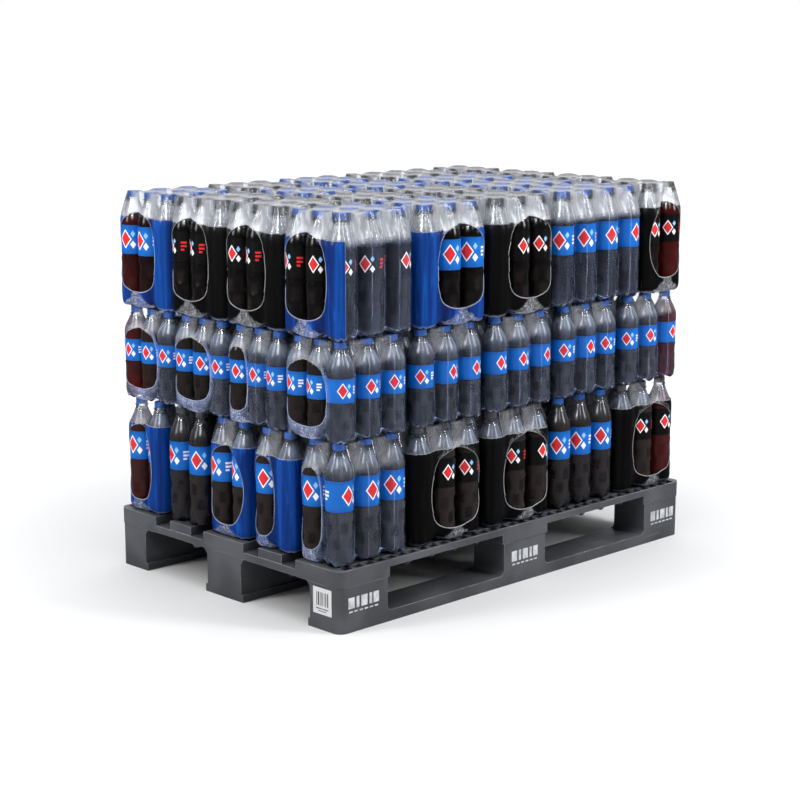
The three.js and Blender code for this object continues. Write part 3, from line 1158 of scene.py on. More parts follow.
@dataclass(frozen=True)
class BottleShape:
    """One size of bottle. Heights are shares of the whole height, radii shares of the radius."""

    height: float
    radius: float
    label_low: float
    label_high: float
    drink_level: float = 0.81
    hole_low: float = 0.135
    hole_high: float = 0.835
    waist: float = 0.955
    sleeve: float = 0.024
    sleeve_gap: float = 0.003
    skin: float = 0.35 * MM
    feet: int = 5
    foot_lift: float = 11 * MM
    foot_pinch: float = 2.2 * MM
    dimple: float = 1.5 * MM
    neck_radius: float = 13 * MM
    neck_height: float = 22 * MM
    cap_radius: float = 14 * MM
    cap_height: float = 15.5 * MM
    cap_rib: float = 0.955
    top_clearance: float = 1.2 * MM
    sharp: float = math.radians(50)
    cap_sharp: float = math.radians(28)

    # (height, radius) up the shoulder, and (radius, height) from the middle of the base to the
    # label
    SHOULDER: ClassVar[Profile] = [
        (0.735, 0.990), (0.76, 0.955), (0.79, 0.885), (0.82, 0.785), (0.85, 0.665),
        (0.88, 0.555), (0.905, 0.470), (0.925, 0.420),
    ]
    FOOT: ClassVar[Profile] = [
        (0.0, 0.030), (0.30, 0.016), (0.55, 0.002), (0.70, 0.0), (0.84, 0.012), (0.935, 0.034),
        (0.985, 0.062), (1.0, 0.095), (1.0, 0.125), (0.985, 0.145), (0.972, 0.165),
        (0.968, 0.20), (0.968, 0.235), (0.975, 0.255), (0.975, 0.27), (0.968, 0.29),
        (0.968, 0.33), (0.972, 0.36), (0.985, 0.38), (1.0, 0.40),
    ]
    # Where the two rings of dimples start and end
    LOW_DIMPLES: ClassVar[Profile] = [(0.14, 0.17), (0.225, 0.255)]
    HIGH_DIMPLES: ClassVar[Profile] = [(0.27, 0.295), (0.355, 0.38)]

    def sized(self, rows: Iterable[tuple[float, float]]) -> Profile:
        """Turns (radius, height) shares into metres."""
        return [(r * self.radius, z * self.height) for r, z in rows]

    def shoulder(self, height: float) -> float:
        """The shoulder's radius at a height."""
        return along_table(self.SHOULDER, height)

    def body_profile(self) -> Profile:
        """The outline of the drink in the bottle, closed at both ends."""
        rows = self.FOOT + [
            (0.995, self.label_low - 0.030), (self.waist, self.label_low),
            (self.waist, self.label_high), (1.0, self.label_high + 0.014), (1.0, 0.715),
        ]
        rows += [(r, z) for z, r in self.SHOULDER if z < self.drink_level]
        rim = self.shoulder(self.drink_level)
        return self.sized(rows + [(rim, self.drink_level), (0.0, self.drink_level)])

    def shell_profile(self) -> Profile:
        """The outline of the clear shoulder and neck above the drink."""
        start = self.drink_level - 0.018
        rows = [(self.shoulder(start), start)]
        rows += [(r, z) for z, r in self.SHOULDER if z > start]
        neck = self.height - self.neck_height
        collar = (
            (self.neck_radius, 0.0), (self.neck_radius, 2.5), (16.2 * MM, 3.0), (16.2 * MM, 4.6),
            (12.6 * MM, 5.2), (12.6 * MM, 8.0),
        )
        profile = [(radius + self.skin, z) for radius, z in self.sized(rows)]
        return profile + [(radius, neck + rise * MM) for radius, rise in collar]

    def plain_profile(self) -> Profile:
        """A short outline for a bottle deep in the stack."""
        return self.sized([
            (0.0, 0.02), (0.7, 0.0), (0.97, 0.05), (0.99, 0.70),
            (self.shoulder(self.drink_level), self.drink_level), (0.0, self.drink_level),
        ])

    def plain_shell_profile(self) -> Profile:
        """A short outline for the shoulder of a bottle deep in the stack."""
        rows = self.sized([(0.925, 0.775), (0.785, 0.82), (0.555, 0.88), (0.42, 0.925)])
        profile = [(radius + self.skin, z) for radius, z in rows]
        return profile + [(self.neck_radius, self.height - self.cap_height + 1 * MM)]

    def mould(self, bm: bmesh.types.BMesh) -> None:
        """Presses the feet and the dimples into a turned body.

        Args:
            bm: The body, as it was turned.
        """
        pressed_and_sheen = bm.verts.layers.float.new("pressed_and_sheen")
        for vert in bm.verts:
            angle = math.atan2(vert.co.y, vert.co.x)
            radius = math.hypot(vert.co.x, vert.co.y)
            share = vert.co.z / self.height
            wave = 0.5 + 0.5 * math.cos(self.feet * angle)
            valley = 1 - wave
            outer = smooth_step(radius / self.radius, 0.2, 0.6)
            lift = valley ** 1.5 * outer * (1 - smooth_step(share, 0.02, 0.14))
            vert.co.z += self.foot_lift * lift
            dimples = band(share, *self.LOW_DIMPLES) * wave
            dimples += band(share, *self.HIGH_DIMPLES) * valley
            vert[pressed_and_sheen] = smooth_step(dimples, 0.25, 0.75)
            pinch = valley * band(share, (0.005, 0.03), (0.05, 0.12))
            inward = self.dimple * vert[pressed_and_sheen] + self.foot_pinch * pinch
            factor = 1 - inward / radius if radius > 5 * MM else 1.0
            vert.co.x *= factor
            vert.co.y *= factor

    def body(self, detail: Detail) -> bpy.types.Mesh:
        """The mesh of the drink in its bottle.

        Args:
            detail: How finely it is made.

        Returns:
            The mesh.
        """
        fine = detail is Detail.FINE
        bm = spin_profile(self.body_profile() if fine else self.plain_profile(), detail.body)
        if fine:
            self.mould(bm)
        return to_mesh(bm, "body", self.sharp)

    def shell(self, detail: Detail) -> bpy.types.Mesh:
        """The mesh of the clear shoulder.

        Args:
            detail: How finely it is made.

        Returns:
            The mesh.
        """
        fine = detail is Detail.FINE
        profile = self.shell_profile() if fine else self.plain_shell_profile()
        return to_mesh(spin_profile(profile, detail.shell), "shell", self.sharp)

    def label(self) -> bpy.types.Mesh:
        """The mesh of the sleeve, with its map and its aspect."""
        inner, outer = self.waist * self.radius, (self.waist + self.sleeve) * self.radius
        low = (self.label_low + self.sleeve_gap) * self.height
        high = (self.label_high - self.sleeve_gap) * self.height
        ring = [(inner, low), (outer, low), (outer, high), (inner, high)]
        bm = spin_profile(ring, Detail.FINE.body, True)
        sleeve = bm.loops.layers.uv.new("Sleeve")
        aspect = bm.verts.layers.float.new("aspect")
        span = high - low
        for vert in bm.verts:
            vert[aspect] = 2 * math.pi * outer / span
        for face in bm.faces:
            middle = face.calc_center_median()
            base = math.atan2(middle.y, middle.x)
            for loop in face.loops:
                co = loop.vert.co
                turn = math.atan2(co.y, co.x) - base
                turn = (turn + math.pi) % (2 * math.pi) - math.pi
                loop[sleeve].uv = ((base + turn) / (2 * math.pi), (co.z - low) / span - 0.5)
        return to_mesh(bm, "label", self.sharp)

    def cap(self, detail: Detail) -> bpy.types.Mesh:
        """The mesh of the cap, ribbed where it is seen close.

        Args:
            detail: How finely it is made.

        Returns:
            The mesh.
        """
        top = self.height - self.top_clearance
        base = self.height - self.cap_height
        r, steps = self.cap_radius, detail.cap
        if detail is not Detail.FINE:
            profile = [(0.0, base), (r, base), (r, top - 2.0 * MM), (r * 0.88, top), (0.0, top)]
            return to_mesh(spin_profile(profile, steps), "cap", self.cap_sharp)
        bm = spin_profile([
            (0.0, base + 1 * MM), (r * 0.9, base + 0.4 * MM), (r, base),
            (r * 1.02, base + 2.6 * MM), (r * 0.955, base + 3.0 * MM), (r, base + 3.6 * MM),
            (r, top - 2.4 * MM),
            (r * 0.95, top - 0.7 * MM), (r * 0.84, top), (0.0, top - 0.3 * MM),
        ], steps)
        for vert in bm.verts:
            index = round(math.atan2(vert.co.y, vert.co.x) / (2 * math.pi) * steps)
            if base + 3.3 * MM < vert.co.z < top - 1.2 * MM and index % 2:
                vert.co.x *= self.cap_rib
                vert.co.y *= self.cap_rib
        return to_mesh(bm, "cap", self.cap_sharp)


@dataclass(frozen=True)
class BottlePlace:
    """Where one bottle stands, what it wears and how the painted light reaches it.

    turn is how far it is turned, glow how much painted light it lets through, bounce how much
    painted light comes off the pallet and outward the way from which that painted light comes.
    """

    x: float
    y: float
    z: float
    drink: Drink
    cap: Cap
    pack: "Pack | None"
    fine: bool
    turn: float
    glow: float
    bounce: float
    outward: float


def copy_out(template: bpy.types.Mesh, places: Sequence[BottlePlace],
             bm: bmesh.types.BMesh | None = None) -> bmesh.types.BMesh:
    """Copies a bottle part to each place.

    Args:
        template: The part, standing at the origin.
        places: Where the copies go.
        bm: A bmesh to add them to.

    Returns:
        The bmesh, with each copy's painted glow and painted floor light at its vertices, how far
        each vertex faces out of the stack, the way that painted light comes from, and how milky the
        film before it is.
    """
    bm = bm or bmesh.new()
    glow, bounce, outward, veiled = (
        bm.verts.layers.float.get(name) or bm.verts.layers.float.new(name)
        for name in ("glow", "bounce", "outward", "veiled")
    )
    for place in places:
        before = len(bm.verts)
        bm.from_mesh(template)
        bm.verts.ensure_lookup_table()
        added = bm.verts[before:]
        turn = Matrix.Translation((place.x, place.y, place.z)) @ Matrix.Rotation(place.turn, 4, "Z")
        bmesh.ops.transform(bm, matrix=turn, verts=added)
        for vert in added:
            angle = math.atan2(vert.co.y - place.y, vert.co.x - place.x)
            vert[glow] = place.glow
            vert[bounce] = place.bounce
            vert[outward] = smooth_step(math.cos(angle - place.outward), 0.15, 1.0)
            vert[veiled] = place.pack.milkiness(vert.co) if place.pack else 0.0
    return bm


# ---- Packs ----


@dataclass(frozen=True)
class Oval:
    """The carrying hole: its side, its half sizes, and its middle along the side and upwards."""

    side: Side
    half_width: float
    half_height: float
    across: float
    middle: float


@dataclass(frozen=True)
class Pack:
    """One wrapped pack: its place, its bottles and its film."""

    name: str
    x: float
    y: float
    z: float
    shape: BottleShape
    count_x: int
    count_y: int
    pitch_x: float
    pitch_y: float
    film: Film
    drink: Drink
    cap: Cap
    hole: Side | None
    opening: Opening
    # How much painted light from above makes the film over the shoulders milkier
    veil: float
    corner_print: bool
    film_gap: float = 1.2 * MM
    least_milk: float = 0.19

    @property
    def reach(self) -> float:
        """How far the film stands from the axes of the outer bottles."""
        return self.shape.radius + self.film_gap

    @property
    def half_x(self) -> float:
        """Half the distance between the outer lines of bottles along X."""
        return (self.count_x - 1) * self.pitch_x / 2

    @property
    def half_y(self) -> float:
        """Half the distance between the outer lines of bottles along Y."""
        return (self.count_y - 1) * self.pitch_y / 2

    def halves(self, side: Side) -> tuple[float, float]:
        """Half the length of a side's line of bottles, and how far out that line stands."""
        return (self.half_x, self.half_y) if side.runs_along_x else (self.half_y, self.half_x)

    @cached_property
    def oval(self) -> Oval | None:
        """The hole, where the pack has one."""
        if self.hole is None:
            return None
        width = 2 * self.halves(self.hole)[0] + 2 * self.reach
        start, end = self.opening.value
        towards = 1 if self.hole in (Side.FRONT, Side.RIGHT) else -1
        low, high = self.shape.hole_low, self.shape.hole_high
        return Oval(
            side=self.hole, half_width=(end - start) / 2 * width,
            half_height=(high - low) / 2 * self.shape.height,
            across=towards * ((start + end) / 2 - 0.5) * width,
            middle=(high + low) / 2 * self.shape.height,
        )

    def milkiness(self, spot: Vector) -> float:
        """How milky a bottle looks at a spot: most under the tent of film, not behind the hole.

        Args:
            spot: A place on a bottle, in the model's frame.

        Returns:
            A share, from 0 to 1.
        """
        share = (spot.z - self.z) / self.shape.height
        rise = smooth_step(share, self.shape.label_high + 0.01, 0.88)
        milky = self.film.mist * (self.least_milk + (1 - self.least_milk) * rise)
        oval = self.oval
        if oval is None:
            return milky
        flat = Vector((spot.x - self.x, spot.y - self.y))
        depth = self.halves(oval.side)[1]
        if flat.dot(oval.side.out) < depth - 0.3 * self.shape.radius:
            return milky
        across = (flat.dot(oval.side.tangent) - oval.across) / oval.half_width
        up = (spot.z - self.z - oval.middle) / oval.half_height
        return milky * smooth_step(oval_size(across, up, 2.4), 0.97, 1.10)

    def centres(self) -> list[tuple[float, float]]:
        """The centre of each bottle."""
        return [
            (self.x - self.half_x + i * self.pitch_x, self.y - self.half_y + j * self.pitch_y)
            for i in range(self.count_x)
            for j in range(self.count_y)
        ]


@dataclass(frozen=True)
class RimPoint:
    """A place on a pack's outline: the line of bottles it stands off from, and how.

    between is 1 midway between two bottles, lobe 1 between two of their feet, offset the place
    along the side from its middle and along the way round the pack.
    """

    anchor: Vector
    out: Vector
    dip: float
    between: float
    lobe: float
    side: Side
    offset: float
    along: float

    @property
    def on_cap(self) -> float:
        """1 beside a bottle's cap, falling to 0 midway between two."""
        return (1 - self.between) ** 1.6


@dataclass(frozen=True)
class Row:
    """One level of a wrap: its height share, its reach, and how much it dips, sags and lifts."""

    share: float
    reach: float
    dip: float = 1.0
    sag: float = 0.0
    lift: float = 0.0
    lobe_lift: float = 0.0


@dataclass(frozen=True)
class HoleFrame:
    """The side with the hole, as places across and up from the middle of the hole."""

    pack: Pack
    oval: Oval
    low_power: float = 2.7
    high_power: float = 2.15
    taper: float = 0.05

    @cached_property
    def tangent(self) -> Vector:
        """The way along the side."""
        return self.oval.side.tangent.to_3d()

    @cached_property
    def out(self) -> Vector:
        """The way out of the side."""
        return self.oval.side.out.to_3d()

    @cached_property
    def centre(self) -> Vector:
        """The middle of the hole, in the pack's middle plane."""
        base = Vector((self.pack.x, self.pack.y, self.pack.z + self.oval.middle))
        return base + self.tangent * self.oval.across

    def spot(self, co: Vector) -> tuple[float, float]:
        """A point's place across and up."""
        return (co - self.centre).dot(self.tangent), co.z - self.centre.z

    def size(self, co: Vector) -> float:
        """Compares a point with the hole, which is narrower at its top.

        Args:
            co: The point.

        Returns:
            1 on the hole's edge, and less inside it.
        """
        across, up = self.spot(co)
        width = self.oval.half_width * (1 - self.taper * max(up, 0.0) / self.oval.half_height)
        power = self.low_power if up < 0 else self.high_power
        return oval_size(across / width, up / self.oval.half_height, power)

    def drop(self, up: float) -> float:
        """Measures how far below the hole a height is.

        Args:
            up: The height, from the middle of the hole.

        Returns:
            0 at the hole's lowest place, 1 at the pack's base and -1 at the hole's top.
        """
        half = self.oval.half_height
        below = -half - up
        return below / (self.oval.middle - half) if below > 0 else below / (2 * half)

    def bulge(self, across: float) -> float:
        """How far the side stands out from its bottles' line at a place along it.

        Args:
            across: The place, from the middle of the hole.

        Returns:
            The distance.
        """
        reach = self.pack.reach
        past = abs(across + self.oval.across) - self.pack.halves(self.oval.side)[0]
        return math.sqrt(reach ** 2 - min(max(past, 0.0), 0.98 * reach) ** 2)

    def on_side(self, co: Vector) -> bool:
        """True on the side that has the hole."""
        depth = self.pack.halves(self.oval.side)[1]
        return (co - self.centre).dot(self.out) > depth + 0.16 * self.pack.reach


@dataclass
class Wrap:
    """The skin of shrink film round one pack."""

    pack: Pack
    step: float = 7.5 * MM
    row_height: float = 11.5 * MM
    body_dip: float = 0.95
    film_lift: float = 0.8 * MM
    cap_sag: float = 4.5 * MM
    cap_reach: float = 13.4 * MM
    corner_edge: float = 15.5 * MM
    ripple: float = 1.0 * MM
    fine_ripple: float = 0.5 * MM
    top_ripple: float = 0.8 * MM
    gap_on_bottle: float = 0.8 * MM
    gap_between: float = 1.5 * MM

    # Height share, and reach of the film between the caps' and the body's
    TENT: ClassVar[Profile] = [
        (1.0, 0.0), (0.987, 0.075), (0.968, 0.17), (0.945, 0.28), (0.92, 0.39), (0.895, 0.50),
        (0.87, 0.60), (0.845, 0.70), (0.82, 0.80), (0.795, 0.88), (0.77, 0.945), (0.745, 0.985),
        (0.72, 1.0),
    ]
    # Height share, millimetres turned in, dip, and millimetres lifted between the bottles and
    # between their feet
    FOOT: ClassVar[tuple[tuple[float, ...], ...]] = (
        (0.072, 0.0, 1.15, 0.0, 0.5), (0.052, 0.5, 1.4, 1.0, 2.4), (0.034, 1.6, 1.75, 3.0, 5.0),
        (0.019, 3.6, 2.0, 5.0, 7.6), (0.008, 6.6, 2.2, 8.0, 9.6), (0.002, 11.0, 2.1, 10.0, 10.5),
        (0.001, 18.0, 1.8, 10.0, 9.0), (0.001, 28.0, 0.6, 6.0, 4.0),
    )
    # Millimetres out and inwards of each step that rolls the hole's edge
    ROLL: ClassVar[Profile] = [(0.4, 0.7), (0.2, 1.1), (-0.8, 0.7), (-0.8, -0.5)]
    # Numbers of a vertex away from the hole
    AWAY: ClassVar[dict[str, float]] = {"level": 1.0, "ring": 2.0, "drop": -1.0, "across": 1.0}

    def __post_init__(self) -> None:
        """Works out the outline's lengths."""
        pack = self.pack
        self.origin = Vector((pack.x, pack.y, pack.z))
        self.reach = pack.reach
        self.place_in_noise = 7.3 * pack.x + 11.9 * pack.y
        self.quarter = math.pi * self.reach / 4
        self.top = pack.shape.height - self.film_lift
        self.spans = {side: 2 * pack.halves(side)[0] + 2 * self.quarter for side in Side}
        self.starts: dict[Side, float] = {}
        self.round = 0.0
        for side in Side:
            self.starts[side] = self.round
            self.round += self.spans[side]

    def rim_point(self, side: Side, share: float) -> RimPoint:
        """The outline's place at a share of one side's run, from corner middle to corner middle.

        Args:
            side: The side.
            share: The share.

        Returns:
            The place.
        """
        half, depth = self.pack.halves(side)
        pitch = self.pack.pitch_x if side.runs_along_x else self.pack.pitch_y
        run = share * self.spans[side]
        unbent = run - self.quarter - half
        offset = limited(unbent, half)
        bend = 0.0
        if run < self.quarter:
            bend = -math.pi / 4 * (1 - run / self.quarter)
        elif run > self.quarter + 2 * half:
            bend = math.pi / 4 * (run - self.quarter - 2 * half) / self.quarter
        out = Vector((math.cos(side.angle + bend), math.sin(side.angle + bend)))
        between = math.sin(math.pi * (offset + half) / pitch) ** 2 if bend == 0.0 else 0.0
        dip = between * self.body_dip * pitch ** 2 / (2 * math.pi ** 2 * self.reach)
        wave = 0.5 + 0.5 * math.cos(4 * math.pi * (unbent + half) / pitch)
        return RimPoint(
            anchor=side.out * depth + side.tangent * offset, out=out, dip=dip, between=between,
            lobe=self.pack.film.lobes * wave, side=side, offset=unbent,
            along=self.starts[side] + run,
        )

    def levels(self) -> list[Row]:
        """The wrap's levels, from the caps down."""
        rows = []
        for share, part in self.TENT:
            reach = self.cap_reach + (self.reach - self.cap_reach) * part
            dip = 0.30 + 1.35 * min(part * 1.8, 1.0) - 0.55 * smooth_step(part, 0.7, 1.0)
            rows.append(Row(share, reach, dip, smooth_step(share, 0.86, 1.0)))
        high, low = self.TENT[-1][0], self.FOOT[0][0] + 0.02
        count = max(6, round(self.pack.shape.height * (high - low) / self.row_height))
        rows += [Row(high - (high - low) * i / count, self.reach) for i in range(1, count + 1)]
        for share, back, dip, lift, lobe_lift in self.FOOT:
            rows.append(Row(share, self.reach - back * MM, dip, 0.0, lift * MM, lobe_lift * MM))
        return rows

    def sag(self, x: float, y: float) -> float:
        """How far the film hangs below the caps at a place on the pack's top.

        Args:
            x: The place along X, from the pack's middle.
            y: The place along Y.

        Returns:
            The distance.
        """
        pack = self.pack
        nearest = []
        for value, half, pitch in ((x, pack.half_x, pack.pitch_x), (y, pack.half_y, pack.pitch_y)):
            index = round((limited(value, half) + half) / pitch)
            nearest.append(value + half - index * pitch)
        return self.cap_sag * smooth_step(math.hypot(*nearest), 12.5 * MM, 40 * MM)

    def bridge(self, point: RimPoint, share: float) -> float:
        """Finds where the gathered film below the hole spans the gap between two bottles.

        Args:
            point: A place on the outline.
            share: The height, as a share of the bottles'.

        Returns:
            1 where it does, and 0 away from there.
        """
        oval = self.pack.oval
        if oval is None or point.side is not oval.side:
            return 0.0
        near = 1 - smooth_step(abs(point.offset - oval.across), 18 * MM, 42 * MM)
        low = self.pack.shape.hole_low
        return near * (1 - smooth_step(share, low - 0.02, low + 0.10))

    def place(self, point: RimPoint, row: Row) -> Vector:
        """Where the outline stands at one level.

        Args:
            point: A place on the outline.
            row: The level.

        Returns:
            The spot, in the model's frame.
        """
        open_to_folds = 1 - self.bridge(point, row.share)
        pinch = 0.22 * row.lobe_lift * point.lobe * open_to_folds
        dip = point.dip * row.dip * (0.12 + 0.88 * open_to_folds)
        flat = point.anchor + point.out * (row.reach - dip - pinch)
        lift = row.lift * point.between + row.lobe_lift * point.lobe
        z = row.share * self.top + lift * open_to_folds
        z -= self.sag(*(point.anchor + point.out * self.cap_reach)) * row.sag
        spot = Vector((*flat, z)) + self.origin
        if row.share < 0.99:
            ripple = self.ripple * noise.noise(spot * 34)
            ripple += self.fine_ripple * noise.noise(spot * 90)
            room = self.gap_on_bottle + self.gap_between * point.between
            spot += point.out.to_3d() * min(limited(ripple, room), 0.0)
        return spot

    def build(self) -> bmesh.types.BMesh:
        """Builds the skin: a sheet over the caps, drawn down the sides and turned in below."""
        bm = bmesh.new()
        bmesh.ops.create_grid(
            bm, x_segments=round(self.spans[Side.FRONT] / self.step),
            y_segments=round(self.spans[Side.RIGHT] / self.step), size=1.0,
        )
        names = ShrinkFilm.NUMBERS + ("along",)
        self.layers = {name: bm.verts.layers.float.new(name) for name in names}
        self.index = bm.verts.layers.int.new("outline")
        points: list[RimPoint] = []
        for vert in bm.verts:
            for name, value in self.AWAY.items():
                vert[self.layers[name]] = value
            vert[self.index] = -1
            if vert.is_boundary:
                vert[self.index] = len(points)
                points.append(self.point_at(vert.co.x, vert.co.y))
        rows = self.levels()
        self.drape_top(bm, points, rows[0])
        self.draw_down(bm, points, rows[1:])
        for vert in bm.verts:
            vert[self.layers["veil"]] = self.pack.veil
            vert[self.layers["mist"]] = self.pack.film.mist
            if vert[self.index] >= 0:
                point = points[vert[self.index]]
                vert[self.layers["along"]] = point.along
                vert[self.layers["print"]] = self.printed(point)
                vert[self.layers["between"]] = point.between
        if self.pack.oval:
            self.cut_hole(bm, HoleFrame(self.pack, self.pack.oval))
        self.map_wrap(bm)
        bmesh.ops.recalc_face_normals(bm, faces=bm.faces)
        return bm

    def point_at(self, u: float, v: float) -> RimPoint:
        """The outline's place for a boundary vertex of the unit sheet.

        Args:
            u: The vertex's X, from -1 to 1.
            v: Its Y, from -1 to 1.

        Returns:
            The place.
        """
        edge = 1 - 1e-5
        if u > edge:
            return self.rim_point(Side.RIGHT, (v + 1) / 2)
        if v > edge:
            return self.rim_point(Side.BACK, (1 - u) / 2)
        if u < -edge:
            return self.rim_point(Side.LEFT, (1 - v) / 2)
        return self.rim_point(Side.FRONT, (u + 1) / 2)

    def drape_top(self, bm: bmesh.types.BMesh, points: list[RimPoint], row: Row) -> None:
        """Lays the sheet over the caps, sagging between them.

        Args:
            bm: The unit sheet.
            points: The outline's places by vertex number.
            row: The wrap's highest level.
        """
        pack = self.pack
        reach_x, reach_y = pack.half_x + self.cap_reach, pack.half_y + self.cap_reach
        corner = self.place(self.point_at(1.0, 1.0), row) - self.origin
        for vert in bm.verts:
            if vert[self.index] >= 0:
                point = points[vert[self.index]]
                vert.co = self.place(point, row)
                vert[self.layers["cap"]] = point.on_cap
                continue
            u, v = vert.co.x, vert.co.y
            right, left, back, front = (
                self.place(self.point_at(*spot), row) - self.origin
                for spot in ((1.0, v), (-1.0, v), (u, 1.0), (u, -1.0))
            )
            flat = right * (1 + u) / 2 + left * (1 - u) / 2 + back * (1 + v) / 2
            flat += front * (1 - v) / 2 - Vector((corner.x * u, corner.y * v, 0.0))
            x, y = limited(flat.x, reach_x), limited(flat.y, reach_y)
            ripple = self.top_ripple * noise.noise(Vector((x + pack.x, y + pack.y, 0)) * 45)
            vert.co = Vector((x, y, self.top - self.sag(x, y) + min(ripple, 0.0))) + self.origin
            vert[self.layers["between"]] = self.sag(x, y) / self.cap_sag
            vert[self.layers["cap"]] = 1 - self.sag(x, y) / self.cap_sag

    def draw_down(self, bm: bmesh.types.BMesh, points: list[RimPoint], rows: list[Row]) -> None:
        """Draws the sheet's edge down the sides, level by level.

        Args:
            bm: The skin.
            points: The outline's places by vertex number.
            rows: The levels below the highest.
        """
        edges = [e for e in bm.edges if e.is_boundary]
        for row in rows:
            edges, verts = extrude_rim(bm, edges)
            for vert in verts:
                point = points[vert[self.index]]
                vert.co = self.place(point, row)
                vert[self.layers["level"]] = row.share
                vert[self.layers["snug"]] = self.snug(row.share)
                vert[self.layers["cap"]] = point.on_cap * smooth_step(row.share, 0.90, 0.94)

    def snug(self, share: float) -> float:
        """How closely the film lies on a bright sleeve at a height.

        Args:
            share: The height, as a share of the bottles'.

        Returns:
            A share, from 0 to 1.
        """
        low, high = self.pack.shape.label_low, self.pack.shape.label_high
        if self.pack.drink is Drink.BLACK or self.pack.film.printed:
            return 0.0
        return band(share, (low - 0.02, low + 0.01), (high - 0.01, high + 0.02))

    def printed(self, point: RimPoint) -> float:
        """Finds where the film is printed.

        Args:
            point: A place on the outline.

        Returns:
            Over 0.5 where it is, changing slowly past the edge of the print.
        """
        if self.pack.film.printed:
            return 1.0
        if self.pack.corner_print and point.side is Side.LEFT:
            return 1.0
        if self.pack.corner_print and point.side is Side.FRONT:
            edge = -self.pack.half_x - self.corner_edge
            return min(max(0.5 + (edge - point.offset) / (4 * self.step), 0.0), 1.0)
        return 0.0

    def cut_hole(self, bm: bmesh.types.BMesh, hole: HoleFrame) -> None:
        """Cuts the oval hole in its side and rolls its edge.

        Args:
            bm: The skin.
            hole: The hole and its side.
        """
        layers = self.layers
        for vert in bm.verts:
            if vert[self.index] >= 0 and hole.on_side(vert.co):
                vert[layers["across"]], up = hole.spot(vert.co)
                vert[layers["drop"]] = hole.drop(up)
                vert[layers["ring"]] = min(hole.size(vert.co), 2.0)
        middles = ((face, face.calc_center_median()) for face in bm.faces)
        doomed = [face for face, spot in middles if hole.on_side(spot) and hole.size(spot) < 1]
        bmesh.ops.delete(bm, geom=doomed, context="FACES")
        edges = [
            e for e in bm.edges
            if e.is_boundary and all(hole.on_side(v.co) and hole.size(v.co) < 1.4 for v in e.verts)
        ]
        for vert in {v for e in edges for v in e.verts}:
            across, up = hole.spot(vert.co)
            factor = 1 / hole.size(vert.co)
            out = hole.bulge(across * factor) - hole.bulge(across)
            vert.co += (hole.tangent * across + Vector((0, 0, up))) * (factor - 1) + hole.out * out
            vert[layers["ring"]] = 1.0
            vert[layers["across"]] = across * factor
            vert[layers["drop"]] = hole.drop(up * factor)
        for outwards, inwards in self.ROLL:
            edges, verts = extrude_rim(bm, edges)
            for vert in verts:
                across, up = hole.spot(vert.co)
                inward = (hole.tangent * across + Vector((0, 0, up))).normalized() * -inwards
                vert.co += (hole.out * outwards + inward) * MM
                wear = 0.22 * noise.noise(vert.co * 60)
                worn = 0.56 - 0.30 * smooth_step(up, 0.0, hole.oval.half_height) + wear
                vert[layers["rim"]] = worn

    def map_wrap(self, bm: bmesh.types.BMesh) -> None:
        """Writes the wrap's map, in metres round and up, and flat over the caps.

        Args:
            bm: The skin.
        """
        wrap = bm.loops.layers.uv.new("Wrap")
        along, level = self.layers["along"], self.layers["level"]
        for face in bm.faces:
            if all(v[level] > 0.999 for v in face.verts):
                for loop in face.loops:
                    loop[wrap].uv = (loop.vert.co.x + 10, loop.vert.co.y)
                continue
            runs = [loop.vert[along] for loop in face.loops]
            wraps = max(runs) - min(runs) > self.round / 2
            for loop, run in zip(face.loops, runs):
                if wraps and run < self.round / 2:
                    run += self.round
                loop[wrap].uv = (run + self.place_in_noise, loop.vert.co.z)


# ---- Layers ----


